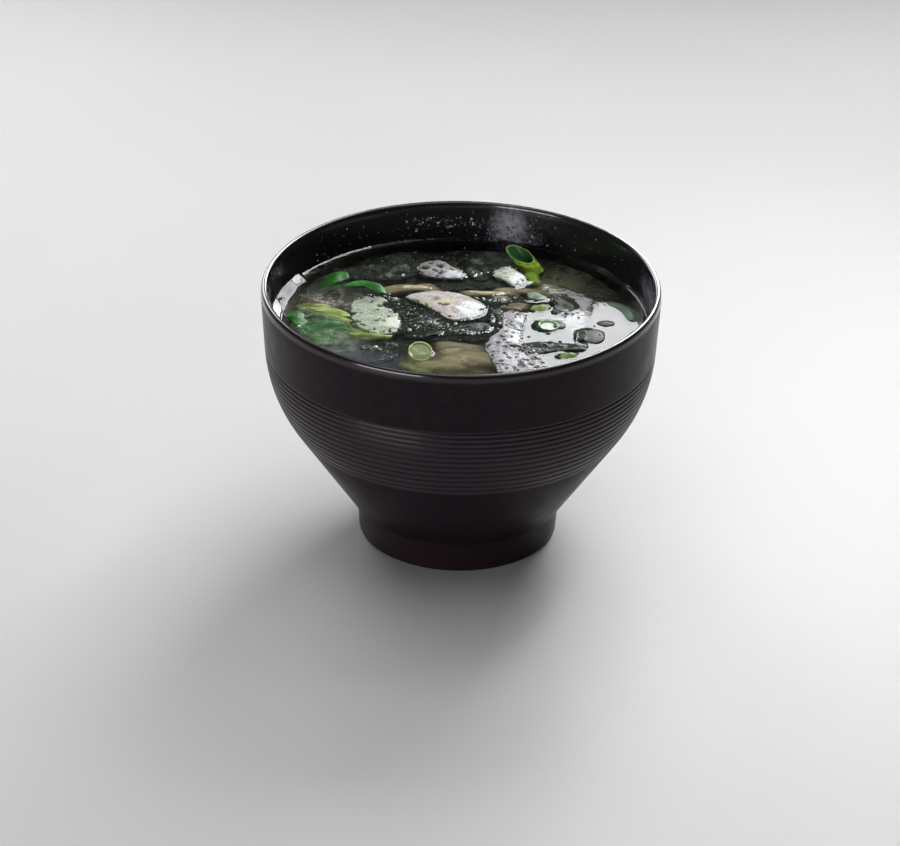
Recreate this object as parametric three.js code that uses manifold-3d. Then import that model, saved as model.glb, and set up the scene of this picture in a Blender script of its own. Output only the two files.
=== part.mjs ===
// Miso soup in its bowl.
//
// A turned dark bowl with thirteen fine lines round its bend holds the broth. Spring onion,
// fried tofu, wakame and rafts of foam float at the broth's level, and the broth is cut
// round each of them.
//
// Millimetres, +Z up. The origin is at the centre of the foot's underside.

import * as THREE from 'three';
import { mergeVertices } from 'three/addons/utils/BufferGeometryUtils.js';
import Module from 'manifold-3d';

const wasm = await Module();
wasm.setup();

const { cos, sin, tan, PI, sqrt, abs, min, max, hypot, atan2 } = Math;
const radians = THREE.MathUtils.degToRad;

// ---------------------------------------------------------------- driving dimensions

// Bowl: a nearly upright wall, a round bend with the turned lines, and a straight cone
// down to the foot.
const HEIGHT = 78.5;
const WIDEST_R = 57.5;
const WIDEST_DROP = 2.9;          // the widest place lies this far below the lip
const WALL_LEAN = radians(3.4);   // lean of the upper wall from upright
const CONE_LEAN = radians(33.9);  // lean of the lower wall from upright
const BEND_TOP_DROP = 19;         // the bend starts this far below the lip
const BEND_R = 44.4;
const LIP_THICK = 2;              // wall just under the lip
const LIP_ROUND = 0.6;            // rounding of the lip's two edges
const WALL_GROWTH = 0.028;        // the wall thickens by this much a millimetre downwards

const LINE_COUNT = 13;
const FIRST_LINE_DROP = 19.5;     // crest of the first line below the lip
const LINE_PITCH = 1.53;          // distance from the first crest to the second
const LINE_PITCH_GROWTH = 0.058;  // each next distance is larger by this much
const LINE_DEPTH = 0.45;
const GROOVE_SHARE = 0.45;        // a groove lies this share of the way up to the next crest

const FOOT_HEIGHT = 9.4;
const FOOT_STEP = 0.7;            // the foot stands in from the cone by this much
const FOOT_BOTTOM_R = 28.9;
const FOOT_RING_WIDTH = 3.6;
const FOOT_EDGE = 0.6;            // bevel of the foot's edges
const FOOT_RECESS = 3.8;
const BOWL_FLOOR = 10.5;          // height of the inner floor
const FLOOR_FLAT_R = 18;
const FLOOR_TURN_Z = 20;          // the inner wall turns to the floor below this height
const FLOOR_TURN_STEPS = 3;

const BOWL_SEGMENTS = 48;
const BEND_STEPS = 4;             // points on the inner side of the bend

// Broth
const BROTH_DROP = 12;            // level below the lip
const BROTH_LEVEL = HEIGHT - BROTH_DROP;
const BROTH_SEGMENTS = 40;
const MENISCUS_RISE = 0.7;        // the broth climbs the wall by this much
const MENISCUS_WIDTH = 1.8;

const GAP = 0.3;                  // between the bowl and the broth
const PIECE_GAP = 0.45;           // a floating piece's pocket is larger by this much

// Floating pieces
const LEAF_THICK = 0.7;
const LEAF_CAMBER = 0.5;          // how far a leaf bows, unless it says otherwise
const LEAF_SINK = 0.25;           // leaves lie lower than their points by this much
const ONION_WALL = 0.8;           // wall of the hollow stem
const TOFU_SINK = 0.8;            // soaked tofu lies just awash
const WAKAME_THICK = 0.8;
const WAKAME_SINK = 0.35;
const WAKAME_WAVE = 0.5;          // how far its edge waves up and down
const WAKAME_RIPPLE = 0.18;       // finer waves all over it
const FOAM_TOP = 0.8;             // foam stands above the broth by this much
const FOAM_SUNK = 1.1;
const FOAM_EDGE_TOP = 0.25;       // the same two at a raft's edge
const FOAM_EDGE_SUNK = 0.4;
const FOAM_LUMP = 0.15;
const POCKET_TOP = 3;             // pockets are cut from this height above the broth

// ---------------------------------------------------------------- materials

function finish(color, roughness, metalness = 0) {
  return () => new THREE.MeshStandardMaterial({ color, roughness, metalness });
}

const lacquer = finish(0x1b1518, 0.32);
const brothTint = finish(0x2b3022, 0.08);
const onionGreen = finish(0x3a8f2c, 0.4);
const onionDark = finish(0x1f5f33, 0.4);
const onionPale = finish(0xa4b85a, 0.4);
const friedTofu = finish(0x9a8a5f, 0.6);
const wakameGreen = finish(0x25332b, 0.3);
const foamWhite = finish(0xc9c6bf, 0.5);

// ---------------------------------------------------------------- solids

// A closed body as a manifold solid, from any geometry whose faces close up.
function toSolid(geometry) {
  const bare = geometry.clone();
  bare.deleteAttribute('normal');
  bare.deleteAttribute('uv');
  const merged = mergeVertices(bare, 1e-4);
  return new wasm.Manifold(new wasm.Mesh({
    numProp: 3,
    vertProperties: new Float32Array(merged.attributes.position.array),
    triVerts: new Uint32Array(merged.index.array),
  }));
}

function toGeometry(solid) {
  const mesh = solid.getMesh();
  const geometry = new THREE.BufferGeometry();
  geometry.setAttribute('position', new THREE.BufferAttribute(mesh.vertProperties, 3));
  geometry.setIndex(new THREE.BufferAttribute(mesh.triVerts, 1));
  geometry.computeVertexNormals();
  return geometry;
}

// A body turned about Z from a profile of [radius, height] points.
function turned(profile, segments) {
  const points = profile.map(([radius, height]) => new THREE.Vector2(radius, height));
  const geometry = new THREE.LatheGeometry(points, segments);
  geometry.rotateX(PI / 2);
  return geometry;
}

function indexed(positions, indices) {
  const geometry = new THREE.BufferGeometry();
  geometry.setAttribute('position', new THREE.Float32BufferAttribute(positions, 3));
  geometry.setIndex(indices);
  geometry.computeVertexNormals();
  return geometry;
}

// A thin closed body from a grid. pointAt(u, v, side) gives a point of the upper face
// (side 1) or the lower face (side -1), with u and v from 0 to 1.
function sheet(columns, rows, pointAt) {
  const positions = [];
  const indices = [];
  const stride = rows + 1;
  const layer = (columns + 1) * stride;
  for (const side of [1, -1]) {
    for (let i = 0; i <= columns; i += 1) {
      for (let j = 0; j <= rows; j += 1) {
        positions.push(...pointAt(i / columns, j / rows, side).toArray());
      }
    }
  }
  const quad = (a, b, c, d) => indices.push(a, b, c, a, c, d);
  const wall = (p, q) => quad(p + layer, q + layer, q, p);
  for (let i = 0; i < columns; i += 1) {
    for (let j = 0; j < rows; j += 1) {
      const a = i * stride + j;
      const b = a + stride;
      quad(a, b, b + 1, a + 1);
      quad(a + layer, a + 1 + layer, b + 1 + layer, b + layer);
    }
  }
  for (let i = 0; i < columns; i += 1) {
    wall(i * stride, (i + 1) * stride);
    wall((i + 1) * stride + rows, i * stride + rows);
  }
  for (let j = 0; j < rows; j += 1) {
    wall(columns * stride + j, columns * stride + j + 1);
    wall(j + 1, j);
  }
  return indexed(positions, indices);
}

// ---------------------------------------------------------------- bowl

const bendTop = {
  r: WIDEST_R - (BEND_TOP_DROP - WIDEST_DROP) * tan(WALL_LEAN),
  z: HEIGHT - BEND_TOP_DROP,
};
const bendCentre = {
  r: bendTop.r - BEND_R * cos(WALL_LEAN),
  z: bendTop.z + BEND_R * sin(WALL_LEAN),
};
const bendLow = {
  r: bendCentre.r + BEND_R * cos(CONE_LEAN),
  z: bendCentre.z - BEND_R * sin(CONE_LEAN),
};

// Radius of the plain outer surface, without the turned lines, below the widest place.
function outerRadius(z) {
  if (z > bendTop.z) return WIDEST_R - (HEIGHT - WIDEST_DROP - z) * tan(WALL_LEAN);
  if (z > bendLow.z) return bendCentre.r + sqrt(BEND_R ** 2 - (z - bendCentre.z) ** 2);
  return bendLow.r - (bendLow.z - z) * tan(CONE_LEAN);
}

function innerRadius(z) {
  return outerRadius(z) - LIP_THICK - WALL_GROWTH * (HEIGHT - z);
}

function lineDrop(k) {
  return FIRST_LINE_DROP + LINE_PITCH * k + LINE_PITCH_GROWTH * k * (k - 1) / 2;
}

// The turned lines from the top down: a groove above each crest, and one below the last.
function linePoints() {
  const points = [];
  for (let k = 0; k < LINE_COUNT; k += 1) {
    const crest = HEIGHT - lineDrop(k);
    const groove = crest + GROOVE_SHARE * (lineDrop(k) - lineDrop(k - 1));
    points.push([outerRadius(groove) - LINE_DEPTH, groove]);
    points.push([outerRadius(crest), crest]);
  }
  const last = HEIGHT - lineDrop(LINE_COUNT - 0.5);
  points.push([outerRadius(last) - LINE_DEPTH / 2, last]);
  return points;
}

// The inner side from the floor's rim up to just under the lip, set in by `inset`.
function innerWall(inset, top) {
  const points = [];
  const turnR = innerRadius(FLOOR_TURN_Z);
  for (let i = 0; i < FLOOR_TURN_STEPS; i += 1) {
    const angle = (PI / 2) * (i / FLOOR_TURN_STEPS);
    points.push([
      FLOOR_FLAT_R + (turnR - FLOOR_FLAT_R) * sin(angle) - inset,
      BOWL_FLOOR + (FLOOR_TURN_Z - BOWL_FLOOR) * (1 - cos(angle)) + inset,
    ]);
  }
  points.push([turnR - inset, FLOOR_TURN_Z]);
  for (let i = 0; i <= BEND_STEPS; i += 1) {
    const z = bendLow.z + (bendTop.z - bendLow.z) * (i / BEND_STEPS);
    points.push([innerRadius(z) - inset, z]);
  }
  points.push([innerRadius(top) - inset, top]);
  return points;
}

function bowlGeometry() {
  const lipMiddle = WIDEST_R - LIP_THICK / 2;
  const footTopR = outerRadius(FOOT_HEIGHT) - FOOT_STEP;
  const recessR = FOOT_BOTTOM_R - FOOT_RING_WIDTH;
  const profile = [
    [0, BOWL_FLOOR],
    ...innerWall(0, HEIGHT - WIDEST_DROP),
    [lipMiddle - LIP_ROUND, HEIGHT - LIP_ROUND],
    [lipMiddle, HEIGHT],
    [lipMiddle + LIP_ROUND, HEIGHT - LIP_ROUND],
    [WIDEST_R, HEIGHT - WIDEST_DROP],
    ...linePoints(),
    [outerRadius(FOOT_HEIGHT + FOOT_EDGE), FOOT_HEIGHT + FOOT_EDGE],
    [footTopR, FOOT_HEIGHT],
    [FOOT_BOTTOM_R, FOOT_EDGE],
    [FOOT_BOTTOM_R - FOOT_EDGE, 0],
    [recessR + FOOT_EDGE, 0],
    [recessR, FOOT_RECESS],
    [0, FOOT_RECESS],
  ];
  return turned(profile.reverse(), BOWL_SEGMENTS);
}

// ---------------------------------------------------------------- broth

// Heights of the contents are measured from the broth's level, so the broth is built
// around zero and hangs below it.
function brothGeometry() {
  const wallTop = MENISCUS_RISE;
  const edge = innerRadius(BROTH_LEVEL + wallTop) - GAP;
  const wall = innerWall(GAP, BROTH_LEVEL + wallTop).map(([r, z]) => [r, z - BROTH_LEVEL]);
  const profile = [
    [0, BOWL_FLOOR + GAP - BROTH_LEVEL],
    ...wall,
    [edge - MENISCUS_WIDTH / 3, MENISCUS_RISE / 4],
    [edge - MENISCUS_WIDTH, 0],
    [0, 0],
  ];
  return turned(profile, BROTH_SEGMENTS);
}

// ---------------------------------------------------------------- floating pieces

// The course of a strip through three points: its point and its normal at a share `u` of
// the way along and `reach` from -1 to 1 across. `blunt` is the width left at its ends.
function stripCourse([from, via, to], width, blunt) {
  const control = via.clone().multiplyScalar(2).sub(from.clone().add(to).divideScalar(2));
  const line = new THREE.QuadraticBezierCurve3(from, control, to);
  const up = new THREE.Vector3(0, 0, 1);
  return (u, reach) => {
    const along = line.getTangent(u);
    const across = up.clone().cross(along).normalize();
    const narrow = blunt + (1 - blunt) * sqrt(1 - abs(2 * u - 1) ** 3);
    return {
      point: line.getPoint(u).addScaledVector(across, 0.5 * width * narrow * reach),
      normal: along.clone().cross(across),
    };
  };
}

// A strip along that course. `camber` bows it like a gutter, and `plump` rounds its
// thickness like a cushion.
function strip({ points, width, thick, blunt, camber = 0, plump = 0, columns = 8 }) {
  const stations = points.map((p) => new THREE.Vector3(...p));
  const course = stripCourse(stations, width, blunt);
  return sheet(columns, 3, (u, v, side) => {
    const reach = 2 * v - 1;
    const { point, normal } = course(u, reach);
    const rise = camber * (1 - reach ** 2);
    const swell = 1 - plump * max((2 * u - 1) ** 2, reach ** 2);
    return point.addScaledVector(normal, rise + 0.5 * side * thick * swell);
  });
}

// The room that a strip needs in the broth: its plan, larger by PIECE_GAP, from above the
// broth to just under the strip.
function stripPocket({ points, width, thick, blunt, columns = 8 }) {
  const [from, via, to] = points.map((p) => new THREE.Vector3(...p));
  const beyond = (end) => end.clone().sub(via).setLength(PIECE_GAP).add(end);
  const stations = [beyond(from), via, beyond(to)];
  const course = stripCourse(stations, width + 2 * PIECE_GAP, blunt);
  const floor = min(from.z, via.z, to.z) - thick / 2 - PIECE_GAP;
  return sheet(columns, 1, (u, v, side) => (
    course(u, 2 * v - 1).point.setZ(side > 0 ? POCKET_TOP : floor)));
}

// A slice of hollow spring onion: an oval tube along Z whose two ends are cut at a slant.
function slice(radii, wall, length, slant) {
  const segments = 14;
  const positions = [];
  const indices = [];
  for (let i = 0; i < segments; i += 1) {
    const angle = (2 * PI * i) / segments;
    const low = -length / 2 + slant[0] * cos(angle);
    const high = length / 2 + slant[1] * cos(angle);
    for (const [depth, z] of [[0, low], [0, high], [wall, high], [wall, low]]) {
      positions.push((radii[0] - depth) * cos(angle), (radii[1] - depth) * sin(angle), z);
    }
    const next = ((i + 1) % segments) * 4;
    for (let k = 0; k < 4; k += 1) {
      const [a, b] = [i * 4 + k, next + k];
      const [c, d] = [next + ((k + 1) % 4), i * 4 + ((k + 1) % 4)];
      indices.push(a, b, c, a, c, d);
    }
  }
  return indexed(positions, indices);
}

// A counterclockwise outline, moved outwards by `gap`.
function widened(outline, gap) {
  const count = outline.length;
  return outline.map((corner, i) => {
    const side = outline[(i + 1) % count].clone().sub(outline[(i + count - 1) % count]);
    return new THREE.Vector3(side.y, -side.x, 0).setLength(gap).add(corner);
  });
}

// A patch with a free outline, round a middle point, for foam and wakame.
// heights(x, y, share) gives the upper and lower height at a share of the way out.
function patch({ middle, outline, heights, shares = [0.45, 0.8, 1], segments = 22, grow = 0 }) {
  const corners = outline.map(([x, y]) => new THREE.Vector3(x, y, 0));
  if (THREE.ShapeUtils.isClockWise(corners)) corners.reverse();
  const curve = new THREE.CatmullRomCurve3(corners, true, 'centripetal');
  const edge = widened(curve.getPoints(segments).slice(0, segments), grow);
  const positions = [];
  const indices = [];
  const stride = 1 + shares.length * segments;
  for (const face of [0, 1]) {
    positions.push(...middle, heights(...middle, 0)[face]);
    for (const share of shares) {
      for (const corner of edge) {
        const x = middle[0] + share * (corner.x - middle[0]);
        const y = middle[1] + share * (corner.y - middle[1]);
        positions.push(x, y, heights(x, y, share)[face]);
      }
    }
  }
  const at = (face, ring, i) => face * stride + 1 + ring * segments + (i % segments);
  const outer = shares.length - 1;
  for (let i = 0; i < segments; i += 1) {
    indices.push(0, at(0, 0, i), at(0, 0, i + 1));
    indices.push(stride, at(1, 0, i + 1), at(1, 0, i));
    for (let ring = 0; ring < outer; ring += 1) {
      const [a, b] = [at(0, ring, i), at(0, ring + 1, i)];
      const [c, d] = [at(0, ring + 1, i + 1), at(0, ring, i + 1)];
      indices.push(a, b, c, a, c, d);
      indices.push(a + stride, c + stride, b + stride, a + stride, d + stride, c + stride);
    }
    const [top, nextTop] = [at(0, outer, i), at(0, outer, i + 1)];
    indices.push(top, top + stride, nextTop + stride, top, nextTop + stride, nextTop);
  }
  return indexed(positions, indices);
}

// The room that a patch needs, down to `floor`.
function patchPocket(middle, outline, segments, floor) {
  const heights = () => [POCKET_TOP, floor];
  return patch({ middle, outline, heights, shares: [1], segments, grow: PIECE_GAP });
}

// ---------------------------------------------------------------- kinds of piece

// Each kind gives a piece's own body and its pocket.
function onionSlice(radii, length, slant) {
  const room = radii.map((radius) => radius + PIECE_GAP);
  return {
    body: slice(radii, ONION_WALL, length, slant),
    pocket: slice(room, ONION_WALL + 2 * PIECE_GAP, length + 2 * PIECE_GAP, slant),
  };
}

function onionLeaf(points, width, camber = LEAF_CAMBER) {
  const spec = { points, width, thick: LEAF_THICK, camber, blunt: 0.45 };
  return { body: strip(spec), pocket: stripPocket(spec) };
}

function tofuStrip(points, width, thick) {
  const spec = { points, width, thick, plump: 0.45, blunt: 0.72, columns: 6 };
  return { body: strip(spec), pocket: stripPocket(spec) };
}

function wakamePatch(middle, outline, turn) {
  const segments = 20;
  const lowest = WAKAME_WAVE + WAKAME_RIPPLE + WAKAME_THICK / 2;
  const heights = (x, y, share) => {
    const away = atan2(y - middle[1], x - middle[0]) + turn;
    const reach = hypot(x - middle[0], y - middle[1]);
    const wave = WAKAME_WAVE * sin(3 * away) * share + WAKAME_RIPPLE * sin(0.9 * reach);
    return [wave + WAKAME_THICK / 2, wave - WAKAME_THICK / 2];
  };
  return {
    body: patch({ middle, outline, heights, shares: [0.5, 1], segments }),
    pocket: patchPocket(middle, outline, segments, -lowest - PIECE_GAP),
  };
}

function foamRaft(middle, outline) {
  const segments = 22;
  const heights = (x, y, share) => {
    const lump = FOAM_LUMP * sin(1.1 * x + 0.4 * y) * cos(0.9 * y - 0.5 * x);
    const dome = 1 - share ** 3;
    const top = FOAM_EDGE_TOP + (FOAM_TOP - FOAM_EDGE_TOP + lump) * dome;
    const sunk = FOAM_EDGE_SUNK + (FOAM_SUNK - FOAM_EDGE_SUNK) * dome;
    return [top, -sunk];
  };
  return {
    body: patch({ middle, outline, heights, segments }),
    pocket: patchPocket(middle, outline, segments, -FOAM_SUNK - PIECE_GAP),
  };
}

// ---------------------------------------------------------------- layout

const contents = new THREE.Group();
contents.position.z = BROTH_LEVEL;

// Put a piece among the contents and give its pocket where it lies.
function float(name, material, { body, pocket }, position = [0, 0, 0], turn = null) {
  const mesh = new THREE.Mesh(body, material());
  mesh.name = name;
  mesh.position.set(...position);
  if (turn) mesh.quaternion.copy(turn);
  mesh.updateMatrix();
  contents.add(mesh);
  return toSolid(pocket.clone().applyMatrix4(mesh.matrix));
}

// The turn that points a slice's hollow along `axis`, after a spin about it.
function aimed(axis, spin) {
  const up = new THREE.Vector3(0, 0, 1);
  const aim = new THREE.Vector3(...axis).normalize();
  const own = new THREE.Quaternion().setFromAxisAngle(up, spin);
  return new THREE.Quaternion().setFromUnitVectors(up, aim).multiply(own);
}

function springOnion() {
  const sliced = (name, material, sizes, position, axis, spin) => (
    float(name, material, onionSlice(...sizes), position, aimed(axis, spin)));
  const leaf = (name, material, points, width, camber) => (
    float(name, material, onionLeaf(points, width, camber), [0, 0, -LEAF_SINK]));
  return [
    sliced('scallion_slice_back', onionGreen, [[3, 2.7], 8, [0, 4.2]],
      [19.8, 39, -0.4], [-0.62, 0.3, 0.72], radians(131)),
    sliced('scallion_slice_front', onionPale, [[3.2, 3.9], 2.6, [0, 0]],
      [-11.4, -20.2, 0], [0.1, -0.5, 0.86], 0),
    sliced('scallion_slice_right', onionGreen, [[3.2, 2.8], 1.8, [0, 0]],
      [25.2, -2.6, 0.2], [0.12, -0.1, 1], 0.2),
    sliced('scallion_slice_near_rim', onionPale, [[3.5, 2.9], 2, [0, 0.3]],
      [-27, -37, 0.1], [0.2, 0.15, 1], 0.6),
    leaf('scallion_leaf_back_left', onionGreen,
      [[-41.6, 22, -0.2], [-38, 26, 0.4], [-33.6, 29.8, 0]], 4.6),
    leaf('scallion_curl_back_left', onionGreen,
      [[-35.2, 22.4, -0.2], [-27.4, 22.8, 0.4], [-22.6, 17, -0.2]], 3.6),
    leaf('scallion_strand_left', onionPale,
      [[-44, 7.6, -0.3], [-38, 5.2, 0.2], [-32.6, 1.6, -0.2]], 3.8),
    leaf('scallion_leaf_left_wall', onionGreen,
      [[-48.2, 5, -0.3], [-47.4, 0.6, 0.4], [-45, -4.4, -0.3]], 4.6),
    leaf('scallion_leaf_left_front', onionDark,
      [[-42.6, -1.6, -0.3], [-38, -3, 0.2], [-33.6, -2.4, -0.2]], 3.4),
    leaf('scallion_strand_front_left', onionPale,
      [[-35.2, -6, -0.2], [-29.4, -9.6, 0.1], [-21.2, -10.8, -0.2]], 2.2),
    leaf('scallion_bit_right', onionPale,
      [[20.8, 8, -0.2], [23, 9.5, 0.2], [25.4, 11.6, -0.2]], 3.8, 0.6),
    leaf('scallion_bit_front_right', onionPale,
      [[28.2, -21.6, -0.2], [30.6, -20.8, 0.2], [33, -20, -0.2]], 2.6),
    leaf('scallion_bit_back_right', onionDark,
      [[19.6, 18.2, -0.2], [22, 17, 0.2], [24.4, 15.2, -0.2]], 3.8),
    leaf('scallion_leaf_right_wall', onionDark,
      [[37.4, 14, -0.2], [45.6, 11.6, 0.2], [49.6, 1.6, -0.2]], 3.6),
    leaf('scallion_leaf_near_rim', onionGreen,
      [[29, -34, -0.2], [34.6, -31, 0.4], [38.4, -25.6, -0.2]], 3.8),
  ];
}

function friedTofuPieces() {
  const tofu = (name, points, width, thick) => (
    float(name, friedTofu, tofuStrip(points, width, thick), [0, 0, -TOFU_SINK]));
  return [
    tofu('fried_tofu_front', [[-3.2, -11, -1.5], [-0.4, -19.5, -1.4], [0, -29, -1.6]], 13.5, 4.6),
    tofu('fried_tofu_back_left', [[-20, 21.4, -0.9], [-13, 23.4, -0.7], [-6.6, 24.6, -0.9]], 4.6, 3),
    tofu('fried_tofu_back_middle', [[2.4, 21, -0.9], [8.6, 19.4, -0.7], [14.6, 16.4, -0.9]], 4.2, 3),
    tofu('fried_tofu_right', [[10.4, 11.2, -0.8], [14.6, 11.2, -0.6], [18.6, 10.6, -0.8]], 2.9, 2.6),
  ];
}

function wakamePieces() {
  const wakame = (name, middle, outline, turn) => (
    float(name, wakameGreen, wakamePatch(middle, outline, turn), [0, 0, -WAKAME_SINK]));
  return [
    wakame('wakame_centre', [-5.5, -5.4],
      [[-16, -10], [-15.4, -1], [-11, 2.6], [-5, -1.2], [3, -1.4], [7.6, -0.4], [8.6, -5],
        [4.4, -8.2], [-4, -7.8], [-9.4, -10.4]], 0.4),
    wakame('wakame_middle', [10.4, 3],
      [[9.4, -3.4], [8.2, 3], [8.8, 8.4], [11.2, 8.6], [11.8, 3], [11, -3.2]], 1.2),
    wakame('wakame_back_left', [-22, 32],
      [[-30, 28.5], [-27.6, 36], [-21, 38.6], [-15.6, 36], [-15.4, 30], [-22, 26.8]], 2.1),
    wakame('wakame_back_right', [4.8, 35],
      [[2.6, 29.6], [7.6, 28.2], [8, 34], [7, 41], [2, 41.4], [0.6, 36]], 0.9),
    wakame('wakame_front_left', [-21.6, -18.4],
      [[-27.8, -15.4], [-20, -14], [-16.8, -16.4], [-17.4, -22], [-22.4, -26], [-28, -21]], 1.7),
    wakame('wakame_front_right', [26, -16.6],
      [[16.8, -19], [19, -14.6], [25, -13.4], [31, -14.4], [36, -15.4], [35.4, -17.6],
        [28, -18], [22, -20.2]], 0.2),
    wakame('wakame_back_bubbly', [29, 11],
      [[26.6, 16.6], [30.4, 15.4], [33, 9.6], [31.6, 6], [27.4, 5.8], [27.6, 11]], 0.7),
    wakame('wakame_near_rim', [-3, -41.4],
      [[-13, -41], [-6, -36.6], [3, -37.4], [7.6, -41.4], [2, -45.6], [-7, -46]], 1.1),
    wakame('wakame_right', [36.6, -8.6],
      [[33.4, -11.4], [34, -5.4], [38.8, -4.6], [40.6, -9], [37.4, -12.4]], 2.6),
  ];
}

const foamRafts = [
  ['foam_left', [-25, 2.4],
    [[-30.4, 14.6], [-22.4, 14.8], [-20, 9], [-18, 4.4], [-17, -2], [-18, -7.4], [-23, -9],
      [-28, -6.4], [-31.4, 0], [-32, 8]]],
  ['foam_centre', [-3.6, 11],
    [[-16.4, 15.6], [-9, 19.6], [-1.4, 18.6], [3.6, 15], [7, 10.6], [6.2, 4.6], [1.6, 1],
      [-3.4, 1.4], [-7.4, 6.4], [-12, 11.4]]],
  ['foam_back', [-6, 33.4],
    [[-13.4, 35], [-11, 39], [-6, 40], [-2.4, 35.6], [1.4, 32], [0.6, 28.6], [-6, 28.2],
      [-11.4, 30.2]]],
  ['foam_back_right', [13.6, 30.2],
    [[9, 32.4], [11.4, 35], [14.4, 32.4], [17.4, 28.6], [18, 24.8], [15.2, 23.6],
      [12.6, 27.4], [9.8, 29.6]]],
  ['foam_front', [12.8, -12.6],
    [[12.4, 7.6], [18.4, 6.6], [18, 0], [17.4, -7], [17.2, -12], [17.2, -17],
      [20.5, -21.5], [24.4, -28], [21, -35], [12.6, -35.6], [8.4, -22], [6.8, -15.4], [8.6, -9.6],
      [11.4, -5], [12, 1]]],
];

// ---------------------------------------------------------------- assembly

// The foam is cut round the firm pieces, and the broth round them all.
const firmPockets = [...springOnion(), ...friedTofuPieces(), ...wakamePieces()];

const foamPockets = foamRafts.map(([name, middle, outline]) => {
  const { body, pocket } = foamRaft(middle, outline);
  const cut = firmPockets.reduce((raft, room) => raft.subtract(room), toSolid(body));
  return float(name, foamWhite, { body: toGeometry(cut), pocket });
});

const brothBody = [...firmPockets, ...foamPockets].reduce(
  (broth, room) => broth.subtract(room), toSolid(brothGeometry()));
const broth = new THREE.Mesh(toGeometry(brothBody), brothTint());
broth.name = 'broth';
contents.add(broth);

const soup = new THREE.Group();
const bowl = new THREE.Mesh(bowlGeometry(), lacquer());
bowl.name = 'bowl';
soup.add(bowl, contents);

export default soup;
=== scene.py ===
# %% [markdown]
# # Miso soup in a turned bowl
#
# A dark lacquered bowl holds cloudy broth. Rafts of foam, slices and leaves of spring onion,
# wakame and fried tofu float at its level, and light from a tall softbox behind the bowl
# lies on the wet surface. The solid model of all this is the frame of this scene. Each solid
# is replaced here by a piece with the finish of the real thing, in the same place.

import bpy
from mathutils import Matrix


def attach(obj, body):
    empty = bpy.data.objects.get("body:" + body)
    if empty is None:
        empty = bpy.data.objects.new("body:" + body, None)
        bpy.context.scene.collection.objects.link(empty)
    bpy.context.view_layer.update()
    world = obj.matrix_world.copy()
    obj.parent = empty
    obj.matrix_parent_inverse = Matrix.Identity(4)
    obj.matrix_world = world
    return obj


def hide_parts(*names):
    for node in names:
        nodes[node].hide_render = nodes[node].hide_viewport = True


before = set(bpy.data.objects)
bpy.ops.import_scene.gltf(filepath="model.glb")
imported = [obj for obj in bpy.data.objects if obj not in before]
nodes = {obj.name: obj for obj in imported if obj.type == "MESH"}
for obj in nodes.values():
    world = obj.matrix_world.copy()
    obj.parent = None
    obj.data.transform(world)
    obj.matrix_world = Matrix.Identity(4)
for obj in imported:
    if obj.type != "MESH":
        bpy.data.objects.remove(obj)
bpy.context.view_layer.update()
print("frame:", len(nodes), "nodes")

# %% Libraries
import math
import random
import bpy
import numpy as np
from mathutils import Matrix, Quaternion, Vector, noise
from mathutils.bvhtree import BVHTree
from mathutils.kdtree import KDTree

print("Blender", bpy.app.version_string)

# %% [markdown]
# ## Units and driving sizes
#
# Blender works in metres. A bowl is easier to think of in millimetres, so sizes are written
# in millimetres and multiplied by `MM` where they reach Blender. The bowl's outline needs
# only a few sizes: a nearly upright wall, a round bend that carries the turned lines, and a
# straight cone down to the foot.

# %% Sizes of the bowl
MM = 0.001
TAU = math.tau
HEIGHT = 78.5
WIDEST_R, WIDEST_DROP = 57.5, 2.9
WALL_LEAN, CONE_LEAN = math.radians(3.4), math.radians(33.9)
BEND_R, BEND_TOP_DROP = 44.4, 19
LIP_THICK, LIP_FULLNESS = 2, 0.45
WALL_GROWTH = 0.028
LINE_COUNT, LINE_DEPTH, GROOVE_SHARE = 13, 0.45, 0.45
FIRST_LINE_DROP = 19.5
LINE_PITCH, LINE_PITCH_GROWTH = 1.53, 0.058
FOOT_HEIGHT, FOOT_STEP, FOOT_BOTTOM_R = 9.4, 0.7, 28.9
FOOT_RING_WIDTH, FOOT_EDGE, FOOT_RECESS = 3.6, 0.6, 3.8
BOWL_FLOOR = 10.5
FLOOR_FLAT_R, FLOOR_TURN_Z = 18, 20
BROTH_DROP = 12
LEVEL = HEIGHT - BROTH_DROP
print("level of the broth:", LEVEL, "mm")

# %% [markdown]
# ## Outline of the bowl
#
# The three stretches of the outer side meet tangentially, so the bend's centre follows from
# the wall's lean. One function gives the plain radius at any height. The turned lines are
# beads: between two grooves the surface swells like a half round, and the grooves are narrow.

# %% Outline of the bowl
bend_top_r = WIDEST_R - (BEND_TOP_DROP - WIDEST_DROP) * math.tan(WALL_LEAN)
bend_top_z = HEIGHT - BEND_TOP_DROP
bend_centre_r = bend_top_r - BEND_R * math.cos(WALL_LEAN)
bend_centre_z = bend_top_z + BEND_R * math.sin(WALL_LEAN)
bend_low_r = bend_centre_r + BEND_R * math.cos(CONE_LEAN)
bend_low_z = bend_centre_z - BEND_R * math.sin(CONE_LEAN)


def outer_radius(z):
    """Radius of the outer side at a height, without the turned lines."""
    if z > bend_top_z:
        return WIDEST_R - (HEIGHT - WIDEST_DROP - z) * math.tan(WALL_LEAN)
    if z > bend_low_z:
        return bend_centre_r + math.sqrt(BEND_R ** 2 - (z - bend_centre_z) ** 2)
    return bend_low_r - (bend_low_z - z) * math.tan(CONE_LEAN)


def inner_radius(z):
    """Radius of the inner side at a height."""
    return outer_radius(z) - LIP_THICK - WALL_GROWTH * (HEIGHT - z)


def line_drop(k):
    """How far below the lip the crest of turned line k lies."""
    return FIRST_LINE_DROP + LINE_PITCH * k + LINE_PITCH_GROWTH * k * (k - 1) / 2


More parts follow.
